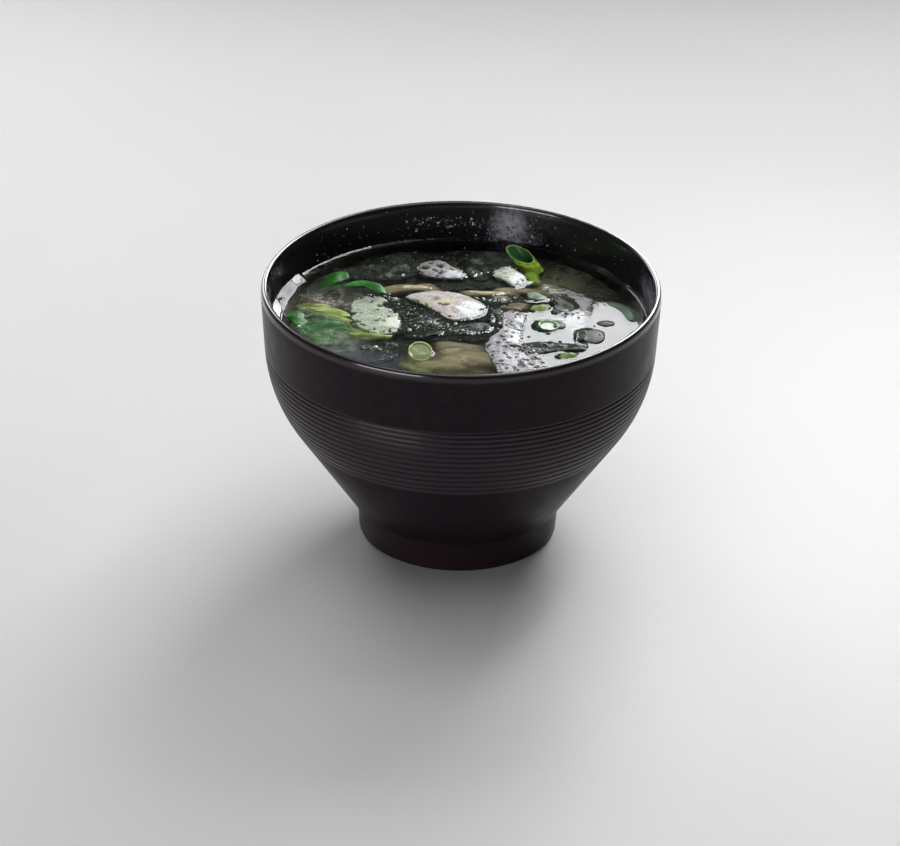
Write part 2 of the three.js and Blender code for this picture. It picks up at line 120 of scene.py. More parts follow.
def bead(u):
    """Depth, from 0 to 1, at a share u of the way from one crest down to the next."""
    away = abs(u - (1 - GROOVE_SHARE))
    away = min(1, away / (GROOVE_SHARE if u > 1 - GROOVE_SHARE else 1 - GROOVE_SHARE))
    return 1 - math.sqrt(1 - (1 - away) ** 2)


print(f"bend from {bend_top_z:.1f} mm down to {bend_low_z:.1f} mm")

# %% Lip, wall and turned lines
LIP_STEPS, WALL_STEPS, BEAD_STEPS = 24, 7, 8
PLAIN_BELOW_LINES = 0.5


def lip_profile():
    """The rounded lip, a full, tall arch from the inner side to the outer side."""
    angles = [math.pi * i / LIP_STEPS for i in range(LIP_STEPS + 1)]
    middle = WIDEST_R - LIP_THICK / 2
    return [(middle - LIP_THICK / 2 * math.cos(a),
             HEIGHT - WIDEST_DROP * (1 - math.sin(a) ** LIP_FULLNESS)) for a in angles]


def wall_profile():
    """The plain wall between the lip and the first turned line."""
    heights = np.linspace(HEIGHT - WIDEST_DROP, HEIGHT - line_drop(-1), WALL_STEPS + 1)
    return [(outer_radius(z), z) for z in heights[1:].tolist()]


def line_profile():
    """The outer side through all the turned lines."""
    points = []
    for k in range(LINE_COUNT):
        for i in range(BEAD_STEPS):
            u = (i + 1) / BEAD_STEPS
            z = HEIGHT - (line_drop(k - 1) + u * (line_drop(k) - line_drop(k - 1)))
            points.append((outer_radius(z) - LINE_DEPTH * bead(u), z))
    last = HEIGHT - line_drop(LINE_COUNT - 0.5)
    points.append((outer_radius(last) - LINE_DEPTH / 2, last))
    plain = last - PLAIN_BELOW_LINES
    points.append((outer_radius(plain), plain))
    return points


print("turned lines:", LINE_COUNT, "in", len(line_profile()), "points")

# %% Inside and foot
INNER_STEPS, FLOOR_TURN_STEPS = 24, 8


def inner_profile(inset, top):
    """The inner side from the floor's edge up to a height, set in by a little."""
    turn_r = inner_radius(FLOOR_TURN_Z)
    points = []
    for i in range(FLOOR_TURN_STEPS):
        angle = TAU / 4 * i / FLOOR_TURN_STEPS
        points.append((FLOOR_FLAT_R + (turn_r - FLOOR_FLAT_R) * math.sin(angle) - inset,
                       BOWL_FLOOR + (FLOOR_TURN_Z - BOWL_FLOOR) * (1 - math.cos(angle)) + inset))
    for i in range(INNER_STEPS + 1):
        z = FLOOR_TURN_Z + (top - FLOOR_TURN_Z) * i / INNER_STEPS
        points.append((inner_radius(z) - inset, z))
    return points


def foot_profile():
    """The foot, from the cone down round its ring to the middle of the recess."""
    top, bottom_r, edge = FOOT_HEIGHT, FOOT_BOTTOM_R, FOOT_EDGE
    recess_r = bottom_r - FOOT_RING_WIDTH
    return [
        (outer_radius(top + edge), top + edge),
        (outer_radius(top) - FOOT_STEP * 0.6, top + 0.1),
        (outer_radius(top) - FOOT_STEP, top - 0.2),
        (bottom_r + 0.1, edge * 1.4), (bottom_r - edge * 0.3, edge * 0.3), (bottom_r - edge, 0),
        (recess_r + edge, 0), (recess_r + edge * 0.3, edge * 0.3), (recess_r, edge),
        (recess_r, FOOT_RECESS - edge), (recess_r - edge, FOOT_RECESS), (0, FOOT_RECESS)]


bowl_profile = [(0, BOWL_FLOOR), *inner_profile(0, HEIGHT - WIDEST_DROP), *lip_profile()[1:],
                *wall_profile(), *line_profile(), *foot_profile()]
print("bowl profile:", len(bowl_profile), "points")

# %% [markdown]
# ## Turning the bowl
#
# A lathe is a spin in Blender. A plane is merged into a single point, the point is drawn out
# into the profile, and the profile is spun once round. The seam and the poles come out as
# doubled points, so they are merged, and only then are the faces turned outwards. Four small
# helpers come first, because nearly every piece needs them.

# %% Starting and editing a piece


def alone(piece):
    """Make a piece the only one that the next operator acts on."""
    if bpy.context.object and bpy.context.object.mode != "OBJECT":
        bpy.ops.object.mode_set(mode="OBJECT")
    bpy.ops.object.select_all(action="DESELECT")
    piece.select_set(True)
    bpy.context.view_layer.objects.active = piece


def started(name, add, **settings):
    """A new thing, made by an operator, with a name and with nothing else selected."""
    bpy.ops.object.select_all(action="DESELECT")
    add(**settings)
    bpy.context.object.name = name
    return bpy.context.object


def edit_all(piece):
    """Open a piece for editing, with all of it selected."""
    alone(piece)
    bpy.ops.object.mode_set(mode="EDIT")
    bpy.ops.mesh.select_all(action="SELECT")


def marked(piece, name, value_at):
    """Keep a number at every point, worked out from its x, y and z in millimetres."""
    marks = piece.data.attributes.new(name, "FLOAT", "POINT")
    for vertex, mark in zip(piece.data.vertices, marks.data):
        mark.value = value_at(*(vertex.co / MM))


print("helpers ready")

# %% Turn the bowl
BOWL_STEPS = 192
SHARP_ANGLE = math.radians(40)


def turned(name, profile, steps):
    """A body of (radius, height) points in millimetres, spun about the vertical axis."""
    piece = started(name, bpy.ops.mesh.primitive_plane_add, size=MM)
    bpy.ops.object.mode_set(mode="EDIT")
    bpy.ops.mesh.select_mode(type="VERT")
    bpy.ops.mesh.merge(type="CENTER")
    start = profile[0]
    bpy.ops.transform.translate(value=(start[0] * MM, 0, start[1] * MM))
    for before, after in zip(profile, profile[1:]):
        move = ((after[0] - before[0]) * MM, 0, (after[1] - before[1]) * MM)
        bpy.ops.mesh.extrude_vertices_move(TRANSFORM_OT_translate={"value": move})
    bpy.ops.mesh.select_all(action="SELECT")
    bpy.ops.mesh.spin(steps=steps, angle=TAU, center=(0, 0, 0), axis=(0, 0, 1))
    bpy.ops.mesh.select_all(action="SELECT")
    bpy.ops.mesh.remove_doubles(threshold=0.002 * MM)
    bpy.ops.mesh.normals_make_consistent(inside=False)
    bpy.ops.object.mode_set(mode="OBJECT")
    bpy.ops.object.shade_smooth_by_angle(angle=SHARP_ANGLE)
    return piece


def crest_share(x, y, z):
    """How far a point of the turned lines stands out of their grooves, from 0 to 1."""
    depth = outer_radius(z) - math.hypot(x, y)
    among_lines = line_drop(-1) < HEIGHT - z < line_drop(LINE_COUNT - 0.5)
    return 1 - depth / LINE_DEPTH if among_lines and depth < LINE_DEPTH * 1.1 else 0


bowl = turned("lacquered_bowl", bowl_profile, BOWL_STEPS)
marked(bowl, "crest", crest_share)
print("bowl:", len(bowl.data.polygons), "faces")

# %% [markdown]
# ## Building a finish
#
# A material is a tree of nodes. Two small classes keep the trees readable: `Wire` is the
# value that comes out of a node, and can be used in sums as a number can, and `Finish` is
# the material, with one method that adds any node, and short ones for the usual kinds.

# %% Wires


class Wire:
    """The value from a node's output."""

    def __init__(self, finish, socket):
        self.finish = finish
        self.socket = socket

    def maths(self, operation, *values):
        """A sum on this and other values, which adds one Math node."""
        return self.finish.node("ShaderNodeMath", {"operation": operation}, values)

    def __add__(self, other):
        return self.maths("ADD", self, other)

    def __sub__(self, other):
        return self.maths("SUBTRACT", self, other)

    def __mul__(self, other):
        return self.maths("MULTIPLY", self, other)

    def __rsub__(self, other):
        return self.maths("SUBTRACT", other, self)

    def __abs__(self):
        return self.maths("ABSOLUTE", self)

    def most(self, other):
        """The larger of two values."""
        return self.maths("MAXIMUM", self, other)

    __radd__ = __add__
    __rmul__ = __mul__


def colour(value):
    """A colour as a link or as red, green, blue and 1."""
    return value if isinstance(value, Wire) else (*value, 1.0)


print("wires ready")

# %% Finishes


class Finish:
    """A material under construction. Lengths in it are millimetres."""

    def __init__(self, name):
        self.material = bpy.data.materials.new(name)
        self.material.use_nodes = True
        self.tree = self.material.node_tree
        self.tree.nodes.clear()
        place = self.node("ShaderNodeTexCoord", {}, {}, "Object")
        self.place = self.vector("SCALE", place, Scale=1 / MM)

    def node(self, kind, settings, inputs, output=0):
        """Add a node: its settings come first, and then the values of its sockets."""
        node = self.tree.nodes.new(kind)
        for name, value in settings.items():
            setattr(node, name, value)
        pairs = inputs.items() if isinstance(inputs, dict) else enumerate(inputs)
        for key, value in pairs:
            if isinstance(value, Wire):
                self.tree.links.new(value.socket, node.inputs[key])
            else:
                node.inputs[key].default_value = value
        return Wire(self, node.outputs[output])

    def vector(self, operation, *values, output=0, **named):
        """Vector maths on places or directions."""
        inputs = dict(enumerate(values)) | named
        return self.node("ShaderNodeVectorMath", {"operation": operation}, inputs, output)

    def along(self, axis, place=None):
        """How far a place lies along the x, y or z axis, as axis 0, 1 or 2."""
        return self.node("ShaderNodeSeparateXYZ", {}, [place or self.place], axis)

    def above(self):
        """The height above the broth's level."""
        return self.along(2) - LEVEL

    def mark(self, name):
        """The number that the mesh keeps at its points under a name."""
        return self.node("ShaderNodeAttribute", {"attribute_name": name}, {}, 2)

    def blend(self, share, first, second):
        """From the first colour to the second as the share goes from 0 to 1."""
        inputs = {0: share, 6: colour(first), 7: colour(second)}
        return self.node("ShaderNodeMix", {"data_type": "RGBA"}, inputs, 2)

    def step(self, value, start, end):
        """0 below start, 1 above end, and smooth between them."""
        settings = {"interpolation_type": "SMOOTHSTEP"}
        return self.node("ShaderNodeMapRange", settings, {0: value, 1: start, 2: end})

    def noise(self, size, detail, place=None, rough=0.5):
        """Cloudy variation around one half, with features of about this size."""
        inputs = {"Vector": place or self.place, "Scale": 1 / size, "Detail": detail,
                  "Roughness": rough}
        return self.node("ShaderNodeTexNoise", {}, inputs)

    def cells(self, size):
        """Distance from the middle of the nearest cell of about this size."""
        return self.node("ShaderNodeTexVoronoi", {}, {"Vector": self.place, "Scale": 1 / size})

    def spot(self, x, y, radius, soft, ragged):
        """1 round an upright line at x, y and 0 beyond the radius, over a soft edge."""
        flat = self.vector("MULTIPLY", self.place, (1, 1, 0))
        away = self.vector("DISTANCE", flat, (x, y, 0), output=1)
        return self.step(away + ragged, radius + soft, radius - soft)

    def bump(self, height, depth, strength=1.0):
        """A normal from a height from 0 to 1 that stands for this depth."""
        inputs = {"Height": height, "Distance": depth * MM, "Strength": strength}
        return self.node("ShaderNodeBump", {}, inputs)

    def skin(self, **sockets):
        """End the tree with a Principled shader. Socket names have _ for a space."""
        inputs = {name.replace("_", " "): value for name, value in sockets.items()}
        return self.end(self.node("ShaderNodeBsdfPrincipled", {}, inputs))

    def end(self, shader):
        """Link the last shader to the surface and give the material."""
        output = self.tree.nodes.new("ShaderNodeOutputMaterial")
        self.tree.links.new(shader.socket, output.inputs["Surface"])
        return self.material


print("finish helpers ready")

# %% [markdown]
# ## Lacquer
#
# The bowl is moulded and coated with a dark lacquer. Outside it is satin: it shows broad soft
# reflections, slightly uneven like orange peel, and it is rubbed a little browner in places.
# The crests of the turned lines are painted paler, a painted highlight with some wear, and the
# foot is painted lighter towards the worn tone, a painted sheen. Inside it is smoother and
# darker, with a pale patch at the back, partly condensation haze and partly a painted glow,
# and the lip is polished by use. Roughness, a clear coat and a fine bump make the difference,
# more than colour.

# %% Lacquer finish
HAZE_AND_GLOW_AT = (14, 52.5, 72)


def lacquer(name, base, worn_and_sheen, gloss, peel, ior, haze_and_glow_share):
    """Dark lacquer of a mean roughness, uneven `peel`, and a share of haze and painted glow."""
    finish = Finish(name)
    cloud = finish.noise(9, 3)
    grain = finish.noise(0.7, 2)
    height = finish.along(2)
    rub = finish.step(finish.noise(3.5, 4) + grain * 0.4, 0.62, 0.95)
    tone = finish.blend(rub * 0.35, base, worn_and_sheen)
    sheen = finish.step(cloud, 0.3, 0.75) * 0.1 + (grain * 0.08 + (gloss - 0.09))
    dust = finish.step(finish.cells(2.3), 0.06, 0.03)
    tone = finish.blend(dust * finish.step(grain, 0.5, 0.62) * 0.5, tone, (0.25, 0.24, 0.25))
    # painted sheen: the foot and the cone just above it are lightened towards the worn tone
    tone = finish.blend(finish.step(height, 16, 5) * 0.6, tone, worn_and_sheen)
    # painted highlight, with some wear: the crests of the turned lines are painted paler
    crest = finish.step(finish.mark("crest"), 0.45, 0.95)
    tone = finish.blend(crest * 0.8, tone, (0.030, 0.022, 0.028))
    # a pale patch on the inner back wall: partly condensation haze, partly a painted glow
    haze_and_glow = finish.vector("DISTANCE", finish.place, HAZE_AND_GLOW_AT, output=1)
    haze_and_glow = finish.step(haze_and_glow + finish.noise(1.6, 5) * 8, 12, 3)
    tone = finish.blend(haze_and_glow * haze_and_glow_share, tone, (0.5, 0.5, 0.58))
    lip = finish.step(height, HEIGHT - WIDEST_DROP, HEIGHT - WIDEST_DROP / 2)
    normal = finish.bump(grain + cloud * 2, peel)
    return finish.skin(Base_Color=tone, Roughness=sheen, Normal=normal, IOR=ior,
                       Coat_Weight=lip.most(crest * 0.12), Coat_Roughness=0.12)


lacquer_outside = lacquer("satin_lacquer", (0.0088, 0.0046, 0.0076), (0.022, 0.012, 0.016),
                          0.36, 0.012, 1.21, 0)
lacquer_inside = lacquer("smooth_lacquer", (0.0045, 0.0038, 0.0066), (0.010, 0.008, 0.013),
                         0.28, 0.006, 1.38, 0.8)
print("lacquer:", lacquer_outside.name, lacquer_inside.name)

# %% [markdown]
# The inner side is told from the outer side by its faces' normals, as a painter would mask
# them. Everything that looks towards the axis, or up from inside, takes the smooth lacquer.

# %% Dress the bowl


def dress(piece, material, slot, *replaced):
    """Give a finished piece its material and its place in the frame."""
    piece.data.materials.clear()
    piece.data.materials.append(material)
    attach(piece, "root")
    if replaced:
        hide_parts(*replaced)
    return piece


dress(bowl, lacquer_outside, "lacquer", "bowl")
bowl.data.materials.append(lacquer_inside)
for face in bowl.data.polygons:
    out = Vector((face.center.x, face.center.y, 0)).normalized()
    inwards = face.normal.dot(out) < -0.3 or face.normal.z > 0.9
    face.material_index = int(inwards and face.center.z > (BOWL_FLOOR - 1) * MM)
print("inner faces:", sum(face.material_index for face in bowl.data.polygons))

# %% [markdown]
# ## Shaping tools for the contents
#
# Soft food is never exactly round or flat. Two tools do most of the work: one applies a
# modifier at once, and one moves all points of a mesh by a formula, which is what sculpting
# with a brush comes to. Heights are measured from the broth's level.

# %% Shaping helpers


def modified(piece, kind, **settings):
    """Give a piece a modifier and apply it."""
    alone(piece)
    modifier = piece.modifiers.new(kind.lower(), kind)
    for name, value in settings.items():
        setattr(modifier, name, value)
    bpy.ops.object.modifier_apply(modifier=modifier.name)
    return piece


def smoother(piece, levels=1):
    """Subdivide a surface a few times."""
    return modified(piece, "SUBSURF", levels=levels, render_levels=levels)


def points_of(piece):
    """The points of a mesh as rows of millimetres."""
    points = np.empty(len(piece.data.vertices) * 3)
    piece.data.vertices.foreach_get("co", points)
    return points.reshape(-1, 3) / MM


def shaped(piece, move):
    """Move all points by a formula that takes and gives x, y and z in millimetres."""
    points = np.stack(move(*points_of(piece).T), 1) * MM
    piece.data.vertices.foreach_set("co", points.ravel())
    piece.data.update()
    return piece


def pattern(name, kind, size, **settings):
    """A built-in pattern for modifiers, with features of this size."""
    texture = bpy.data.textures.new(name, kind)
    texture.noise_scale = size * MM
    for key, value in settings.items():
        setattr(texture, key, value)
    return texture


def roughened(piece, texture, depth, **settings):
    """Push a surface in and out by a pattern, by this depth in all."""
    return modified(piece, "DISPLACE", texture=texture, strength=depth * MM, **settings)


print("shaping helpers ready")

# %% Copies of solids


def copy_of(node, name):
    """A copy of a solid's mesh as one closed skin, with nothing else of the solid."""
    piece = bpy.data.objects.new(name, nodes[node].data.copy())
    bpy.context.scene.collection.objects.link(piece)
    piece.data.materials.clear()
    alone(piece)
    if piece.data.has_custom_normals:
        bpy.ops.mesh.customdata_custom_splitnormals_clear()
    edit_all(piece)
    bpy.ops.mesh.remove_doubles(threshold=0.001 * MM)
    bpy.ops.mesh.tris_convert_to_quads()
    bpy.ops.object.mode_set(mode="OBJECT")
    bpy.ops.object.shade_smooth()
    return piece


def softened(node, levels, lift, *roughness, **settings):
    """A solid's copy with a finer skin, lifted, and roughened by patterns of some depths."""
    piece = smoother(copy_of(node, "soft_" + node), levels)
    shaped(piece, lambda x, y, z: (x, y, z + lift))
    for texture, depth in roughness:
        roughened(piece, texture, depth, **settings)
    return piece


print("copying helpers ready")

# %% [markdown]
# ## Depth in the broth
#
# Cloudy broth hides what lies in it within a few millimetres. Every floating piece therefore
# fades to the broth's own colour below the level, by the height of its surface, which keeps
# the fading in place from wherever the soup is looked at.

# %% Fading helper
MURK = (0.040, 0.047, 0.032)
CLEAR_DEPTH, LOST_DEPTH = -0.2, -3.6


def drowned(finish, tint, most=0.9):
    """A colour that fades to the broth's as the surface sinks below the level."""
    share = finish.step(finish.above(), CLEAR_DEPTH, LOST_DEPTH) * most
    return finish.blend(share, tint, MURK)


print("fading from", CLEAR_DEPTH, "to", LOST_DEPTH, "mm")

# %% [markdown]
# ## Spring onion leaves
#
# A cut leaf is a strip of a flattened tube: it bows like a gutter, its edges wave, and fine
# ribs run along it. A flat grid is laid along a curve through three points, as the solids
# are, and then gets its thickness. The grid's own map keeps the ribs along the leaf.

# %% Leaf finishes
LEAF_TONES = {
    "green_leaf": ("scallion_green", (0.022, 0.22, 0.012), (0.007, 0.085, 0.006),
        (0.07, 0.24, 0.03)),
    "dark_leaf": ("scallion_dark", (0.040, 0.20, 0.050), (0.016, 0.10, 0.028), (0.10, 0.26, 0.09)),
    "murky_leaf": ("scallion_dark", (0.10, 0.16, 0.10), (0.035, 0.07, 0.04), (0.30, 0.33, 0.29)),
    "grey_leaf": ("scallion_dark", (0.24, 0.32, 0.23), (0.13, 0.21, 0.13), (0.42, 0.47, 0.40)),
    "lime_leaf": ("scallion_pale", (0.22, 0.31, 0.06), (0.09, 0.16, 0.02), (0.30, 0.36, 0.13)),
    "bright_leaf": ("scallion_pale", (0.36, 0.54, 0.06), (0.24, 0.42, 0.03), (0.40, 0.56, 0.14)),
    "pale_leaf": ("scallion_pale", (0.44, 0.52, 0.18), (0.20, 0.29, 0.05), (0.52, 0.55, 0.32)),
    "straw_sheet": ("fried_tofu", (0.62, 0.56, 0.36), (0.33, 0.29, 0.16), (0.48, 0.43, 0.28)),
}


def leaf_finish(name, light, dark, edge):
    """Moist leaf with ribs along it, darker down its middle and paler at its cut edges."""
    finish = Finish(name)
    chart = finish.node("ShaderNodeTexCoord", {}, {}, 2)
    ribs = finish.noise(1, 2, finish.vector("MULTIPLY", chart, (2.5, 30, 1)))
    blotch = finish.noise(2.6, 4)
    sideways, endways = abs(finish.along(1, chart) - 0.5), abs(finish.along(0, chart) - 0.5)
    tone = finish.blend(finish.step(ribs * 0.55 + blotch * 0.6, 0.42, 0.78), dark, light)
    tone = finish.blend(finish.step(sideways, 0.36, 0.5) * 0.4, tone, edge)
    outer = endways.most(sideways) + (blotch - 0.5) * 0.5
    faded = finish.step(outer, 0.22, 0.5) * finish.step(finish.above(), 0.35, -0.5)
    return finish.skin(Base_Color=drowned(finish, tone), Roughness=0.42, IOR=1.26,
                       Normal=finish.bump(ribs, 0.1, 0.7), Alpha=1 - faded,
                       Coat_Weight=0.08, Coat_Roughness=0.12)


skins = {name: (leaf_finish(name, *tones), slot) for name, (slot, *tones) in LEAF_TONES.items()}
print("leaf finishes:", len(skins))

# %% [markdown]
# Each leaf has a finish, a width, a dip of its first end, and the start, middle and end of its
# curve. The floating ones stand for solids. The sunk ones hang just under the level, most of
# them at the left, where the strands lie thick.

# %% Leaf places
LEAVES = {
    "scallion_leaf_back_left": ("green_leaf", 5.2, 1.6, (-41.6, 22, -0.2), (-38, 26, 0.4),
        (-33.6, 29.8, 0)),
    "scallion_curl_back_left": ("green_leaf", 3.6, 0.2, (-35.2, 22.4, -0.2), (-27.4, 22.8, 0.4),
        (-22.6, 17, -0.2)),
    "scallion_strand_left": ("pale_leaf", 3.8, 0.3, (-44, 7.6, -0.3), (-38, 5.2, 0.2),
        (-32.6, 1.6, -0.2)),
    "scallion_leaf_left_wall": ("green_leaf", 4.8, 0.1, (-48.2, 5, -0.3), (-47.4, 0.6, 0.4),
        (-45, -4.4, -0.3)),
    "scallion_leaf_left_front": ("dark_leaf", 3.6, 0.3, (-42.6, -1.6, -0.3), (-38, -3, 0.2),
        (-33.6, -2.4, -0.2)),
    "scallion_strand_front_left": ("lime_leaf", 2.4, 0.6, (-35.2, -6, -0.2), (-29.4, -9.6, 0.1),
        (-21.2, -10.8, -0.2)),
    "scallion_bit_right": ("lime_leaf", 3.9, 0.2, (20.8, 8, -0.2), (23, 9.5, 0.2),
        (25.4, 11.6, -0.2)),
    "scallion_bit_front_right": ("lime_leaf", 2.6, 0, (28.2, -21.6, -0.2), (30.6, -20.8, 0.2),
        (33, -20, -0.2)),
    "scallion_bit_back_right": ("grey_leaf", 3.9, 0, (19.6, 18.2, -0.2), (22, 17, 0.2),
        (24.4, 15.2, -0.2)),
    "scallion_leaf_right_wall": ("murky_leaf", 3.6, 0.8, (37.4, 14, -0.2), (45.6, 11.6, 0.2),
        (49.6, 1.6, -0.2)),
    "scallion_leaf_near_rim": ("green_leaf", 3.8, 0.2, (29, -34, -0.2), (34.6, -31, 0.4),
        (38.4, -25.6, -0.2)),
}
SUNK_LEAVES = {
    "sunk_leaf_left_a": ("green_leaf", 3.6, 0.6, (-46, 3.4, -0.45), (-38.4, 0.8, -0.35),
        (-30.6, -7.6, -0.45)),
    "sunk_leaf_left_b": ("pale_leaf", 3.4, 0.5, (-48.6, 10.6, -1.05), (-42.6, 9.2, -0.35),
        (-35.4, 7.4, -0.65)),
    "sunk_leaf_left_c": ("dark_leaf", 5.2, 0.4, (-46.6, -6.4, -0.85), (-40.6, -6.8, -0.45),
        (-33.4, -10.4, -0.95)),
    "sunk_leaf_left_d": ("pale_leaf", 3.2, 0.6, (-41.6, -3.8, -0.75), (-37, -5.8, -0.55),
        (-31.6, -12.6, -0.85)),
    "sunk_leaf_left_e": ("green_leaf", 4.4, 0.5, (-44.6, -9.6, -1.15), (-39.6, -12.6, -0.65),
        (-31.2, -14.6, -1.35)),
    "sunk_leaf_left_f": ("green_leaf", 3, 0.4, (-49.4, 1.6, -0.55), (-45.4, -4.6, -0.25),
        (-41.4, -9.8, -0.85)),
    "sunk_leaf_left_g": ("pale_leaf", 5, 0.2, (-47.6, 9.6, -0.55), (-40.6, 5.2, -0.35),
        (-31.4, -1.4, -0.45)),
    "sunk_leaf_left_h": ("green_leaf", 4.6, 0.3, (-48, 0.4, -0.45), (-41, -2, -0.35),
        (-32.6, -6, -0.45)),
    "sunk_leaf_left_i": ("pale_leaf", 3.4, 0.2, (-33.6, -3.4, -0.35), (-27.6, -9.4, -0.25),
        (-19.4, -9.6, -0.45)),
    "sunk_leaf_left_j": ("dark_leaf", 4, 0.2, (-42, -10.6, -0.65), (-36, -13, -0.45),
        (-27, -13.6, -0.75)),
    "sunk_leaf_under_foam": ("pale_leaf", 3.6, 0.5, (-34, 2.4, -0.8), (-31.4, -5.4, -0.5),
        (-25.6, -10.4, -0.8)),
    "sunk_leaf_back_left": ("green_leaf", 3, 0.8, (-43.6, 19.8, -1.4), (-38.4, 22.6, -1),
        (-33.4, 23.4, -1.2)),
    "sunk_leaf_back_right": ("bright_leaf", 4.2, 0.3, (19.6, 36.4, -1.2), (21, 31.4, -1),
        (22.2, 26.6, -1.9)),
    "sunk_leaf_front": ("pale_leaf", 4.4, 0.6, (-17, -21.6, -1.8), (-13, -26.4, -1.5),
        (-6.6, -28.4, -1.7)),
    "sunk_leaf_right_wall": ("murky_leaf", 3, 0.6, (50.4, -1.2, -1), (51, 6, -0.8),
        (47.4, 13.6, -1.2)),
}
print("leaves:", len(LEAVES), "floating and", len(SUNK_LEAVES), "sunk")

# %% [markdown]
# The formula below does the laying. A leaf's ends stay nearly as wide as its middle and are
# cut at a slant, its edges wave, and its first end may dip into the broth, where it fades.

# %% Leaves
LEAF_GRID = (32, 10)
LEAF_THICK, LEAF_CAMBER = 0.55, 0.5
LEAF_SINK = 0.25
END_WIDTH, END_SLANT = 0.6, 0.16


def leaf_course(width, dip, *stations):
    """The formula that lays a flat grid, one unit long and wide, along the leaf's curve."""
    start, via, end = (np.array(p, float) for p in stations)
    control = 2 * via - (start + end) / 2
    phase = start[0] + 2 * start[1]

    def move(x, y, z):
        u, reach = x + 0.5, 2 * y
        t = u[:, None]
        centre = (1 - t) ** 2 * start + 2 * t * (1 - t) * control + t ** 2 * end
        along = 2 * (1 - t) * (control - start) + 2 * t * (end - control)
        along /= np.linalg.norm(along, axis=1)[:, None]
        across = np.stack([-along[:, 1], along[:, 0], 0 * u], 1)
        across /= np.linalg.norm(across, axis=1)[:, None]
        normal = np.cross(along, across)
        slip = END_SLANT * width * reach * np.sign(u - 0.5) * np.abs(2 * u - 1) ** 4
        narrow = END_WIDTH + (1 - END_WIDTH) * np.sqrt(np.maximum(0, 1 - abs(2 * u - 1) ** 4))
        narrow = narrow * (1 + 0.1 * np.sin(7 * u + phase) + 0.06 * np.sin(17 * u - phase))
        wave = 0.14 * np.sin(5.1 * u + 2 * reach + phase) + 0.08 * np.sin(13 * u - 3 * reach)
        rise = LEAF_CAMBER * (1 - reach ** 2) + wave - dip * (1 - u) ** 2
        point = centre + across * (width / 2 * narrow * reach)[:, None]
        point = point + normal * rise[:, None] + along * slip[:, None]
        return point[:, 0], point[:, 1], point[:, 2] + LEVEL - LEAF_SINK

    return move


def leaf(name, skin, *course, replaced=()):
    """A cut leaf of a width and dip along three points. Its map's first axis runs along it."""
    piece = started(name, bpy.ops.mesh.primitive_grid_add, size=MM,
                    x_subdivisions=LEAF_GRID[0], y_subdivisions=LEAF_GRID[1])
    shaped(piece, leaf_course(*course))
    modified(piece, "SOLIDIFY", thickness=LEAF_THICK * MM, offset=0)
    smoother(piece)
    bpy.ops.object.shade_smooth()
    return dress(piece, *skins[skin], *replaced)


leaves = [leaf("soft_" + node, *spec, replaced=[node]) for node, spec in LEAVES.items()]
leaves += [leaf(name, *spec) for name, spec in SUNK_LEAVES.items()]
print("leaves:", len(leaves))

# %% [markdown]
# ## Spring onion slices
#
# A slice is a short oval tube whose upper end is cut at a slant. A cylinder's top face is
# inset to leave the wall and pushed down to make the hollow, whose floor is the thin web
# and the film of broth that the hollow holds. The wall is layered, so its cut shows fibres.

# %% Slice finishes
SLICE_TONES = {
    "green_slice": ("scallion_green", (0.14, 0.34, 0.02), (0.46, 0.64, 0.06), (0.026, 0.10, 0.026),
        (0.030, 0.11, 0.026), 0.1),
    "ring_slice": ("scallion_green", (0.05, 0.22, 0.03), (0.04, 0.18, 0.03), (0.34, 0.37, 0.28),
        (0.11, 0.30, 0.05), 0.3),
    "pale_slice": ("scallion_pale", (0.50, 0.56, 0.18), (0.52, 0.56, 0.22), (0.27, 0.34, 0.13),
        (0.58, 0.67, 0.27), 0.5),
}


def slice_finish(name, outer, low, inner, cut, wet):
    """Moist stem: `outer` outside, `low` at the water, `inner` in the hollow, `cut` on top."""
    finish = Finish(name)
    part = finish.mark("part")
    cloud = finish.noise(1.4, 3)
    fibre = finish.noise(0.5, 2)
    edge = finish.above() + (cloud - 0.5) * 2
    tone = finish.blend(finish.step(edge, 1.8, 0.2), outer, low)
    tone = finish.blend(finish.step(part, 0.1, 0.45), tone, cut)
    tone = finish.blend(finish.step(part, 0.55, 0.9), tone, inner)
    tone = finish.blend(finish.step(cloud, 0.45, 0.7) * 0.5, tone, cut)
    return finish.skin(Base_Color=drowned(finish, tone, 0.45), Roughness=0.3, Coat_Weight=wet,
                       Coat_Roughness=0.08, IOR=1.3, Normal=finish.bump(fibre + cloud, 0.12, 0.6))


skins |= {name: (slice_finish(name, *tones), slot)
          for name, (slot, *tones) in SLICE_TONES.items()}
print("slice finishes:", len(SLICE_TONES))

# %% [markdown]
# Each slice has a finish, two radii, a length, the slants of its lower and upper cut, a place,
# the way it points, a turn in degrees, the thickness of its wall and the depth of its hollow.

# %% Slice places
SLICES = {
    "scallion_slice_back": ("green_slice", (3, 2.7), 8, (0, 4.2), (19.8, 39, -0.4),
        (-0.62, 0.3, 0.72), 131, 0.35, 4.6),
    "scallion_slice_front": ("pale_slice", (3.5, 3.7), 2.6, (0, 0.12), (-11.4, -20.2, -0.3),
        (0.1, -0.38, 0.92), 0, 0.5, 0.35),
    "scallion_slice_right": ("ring_slice", (3.2, 2.8), 1.8, (0, 0), (25.2, -2.6, -0.1),
        (0.12, -0.1, 1), 11, 0.6, 0.4),
    "scallion_slice_near_rim": ("pale_slice", (3.5, 2.9), 2, (0, 0.3), (-27, -37, 0.1),
        (0.2, 0.15, 1), 34, 0.8, 0.8),
}
print("slices:", ", ".join(SLICES))

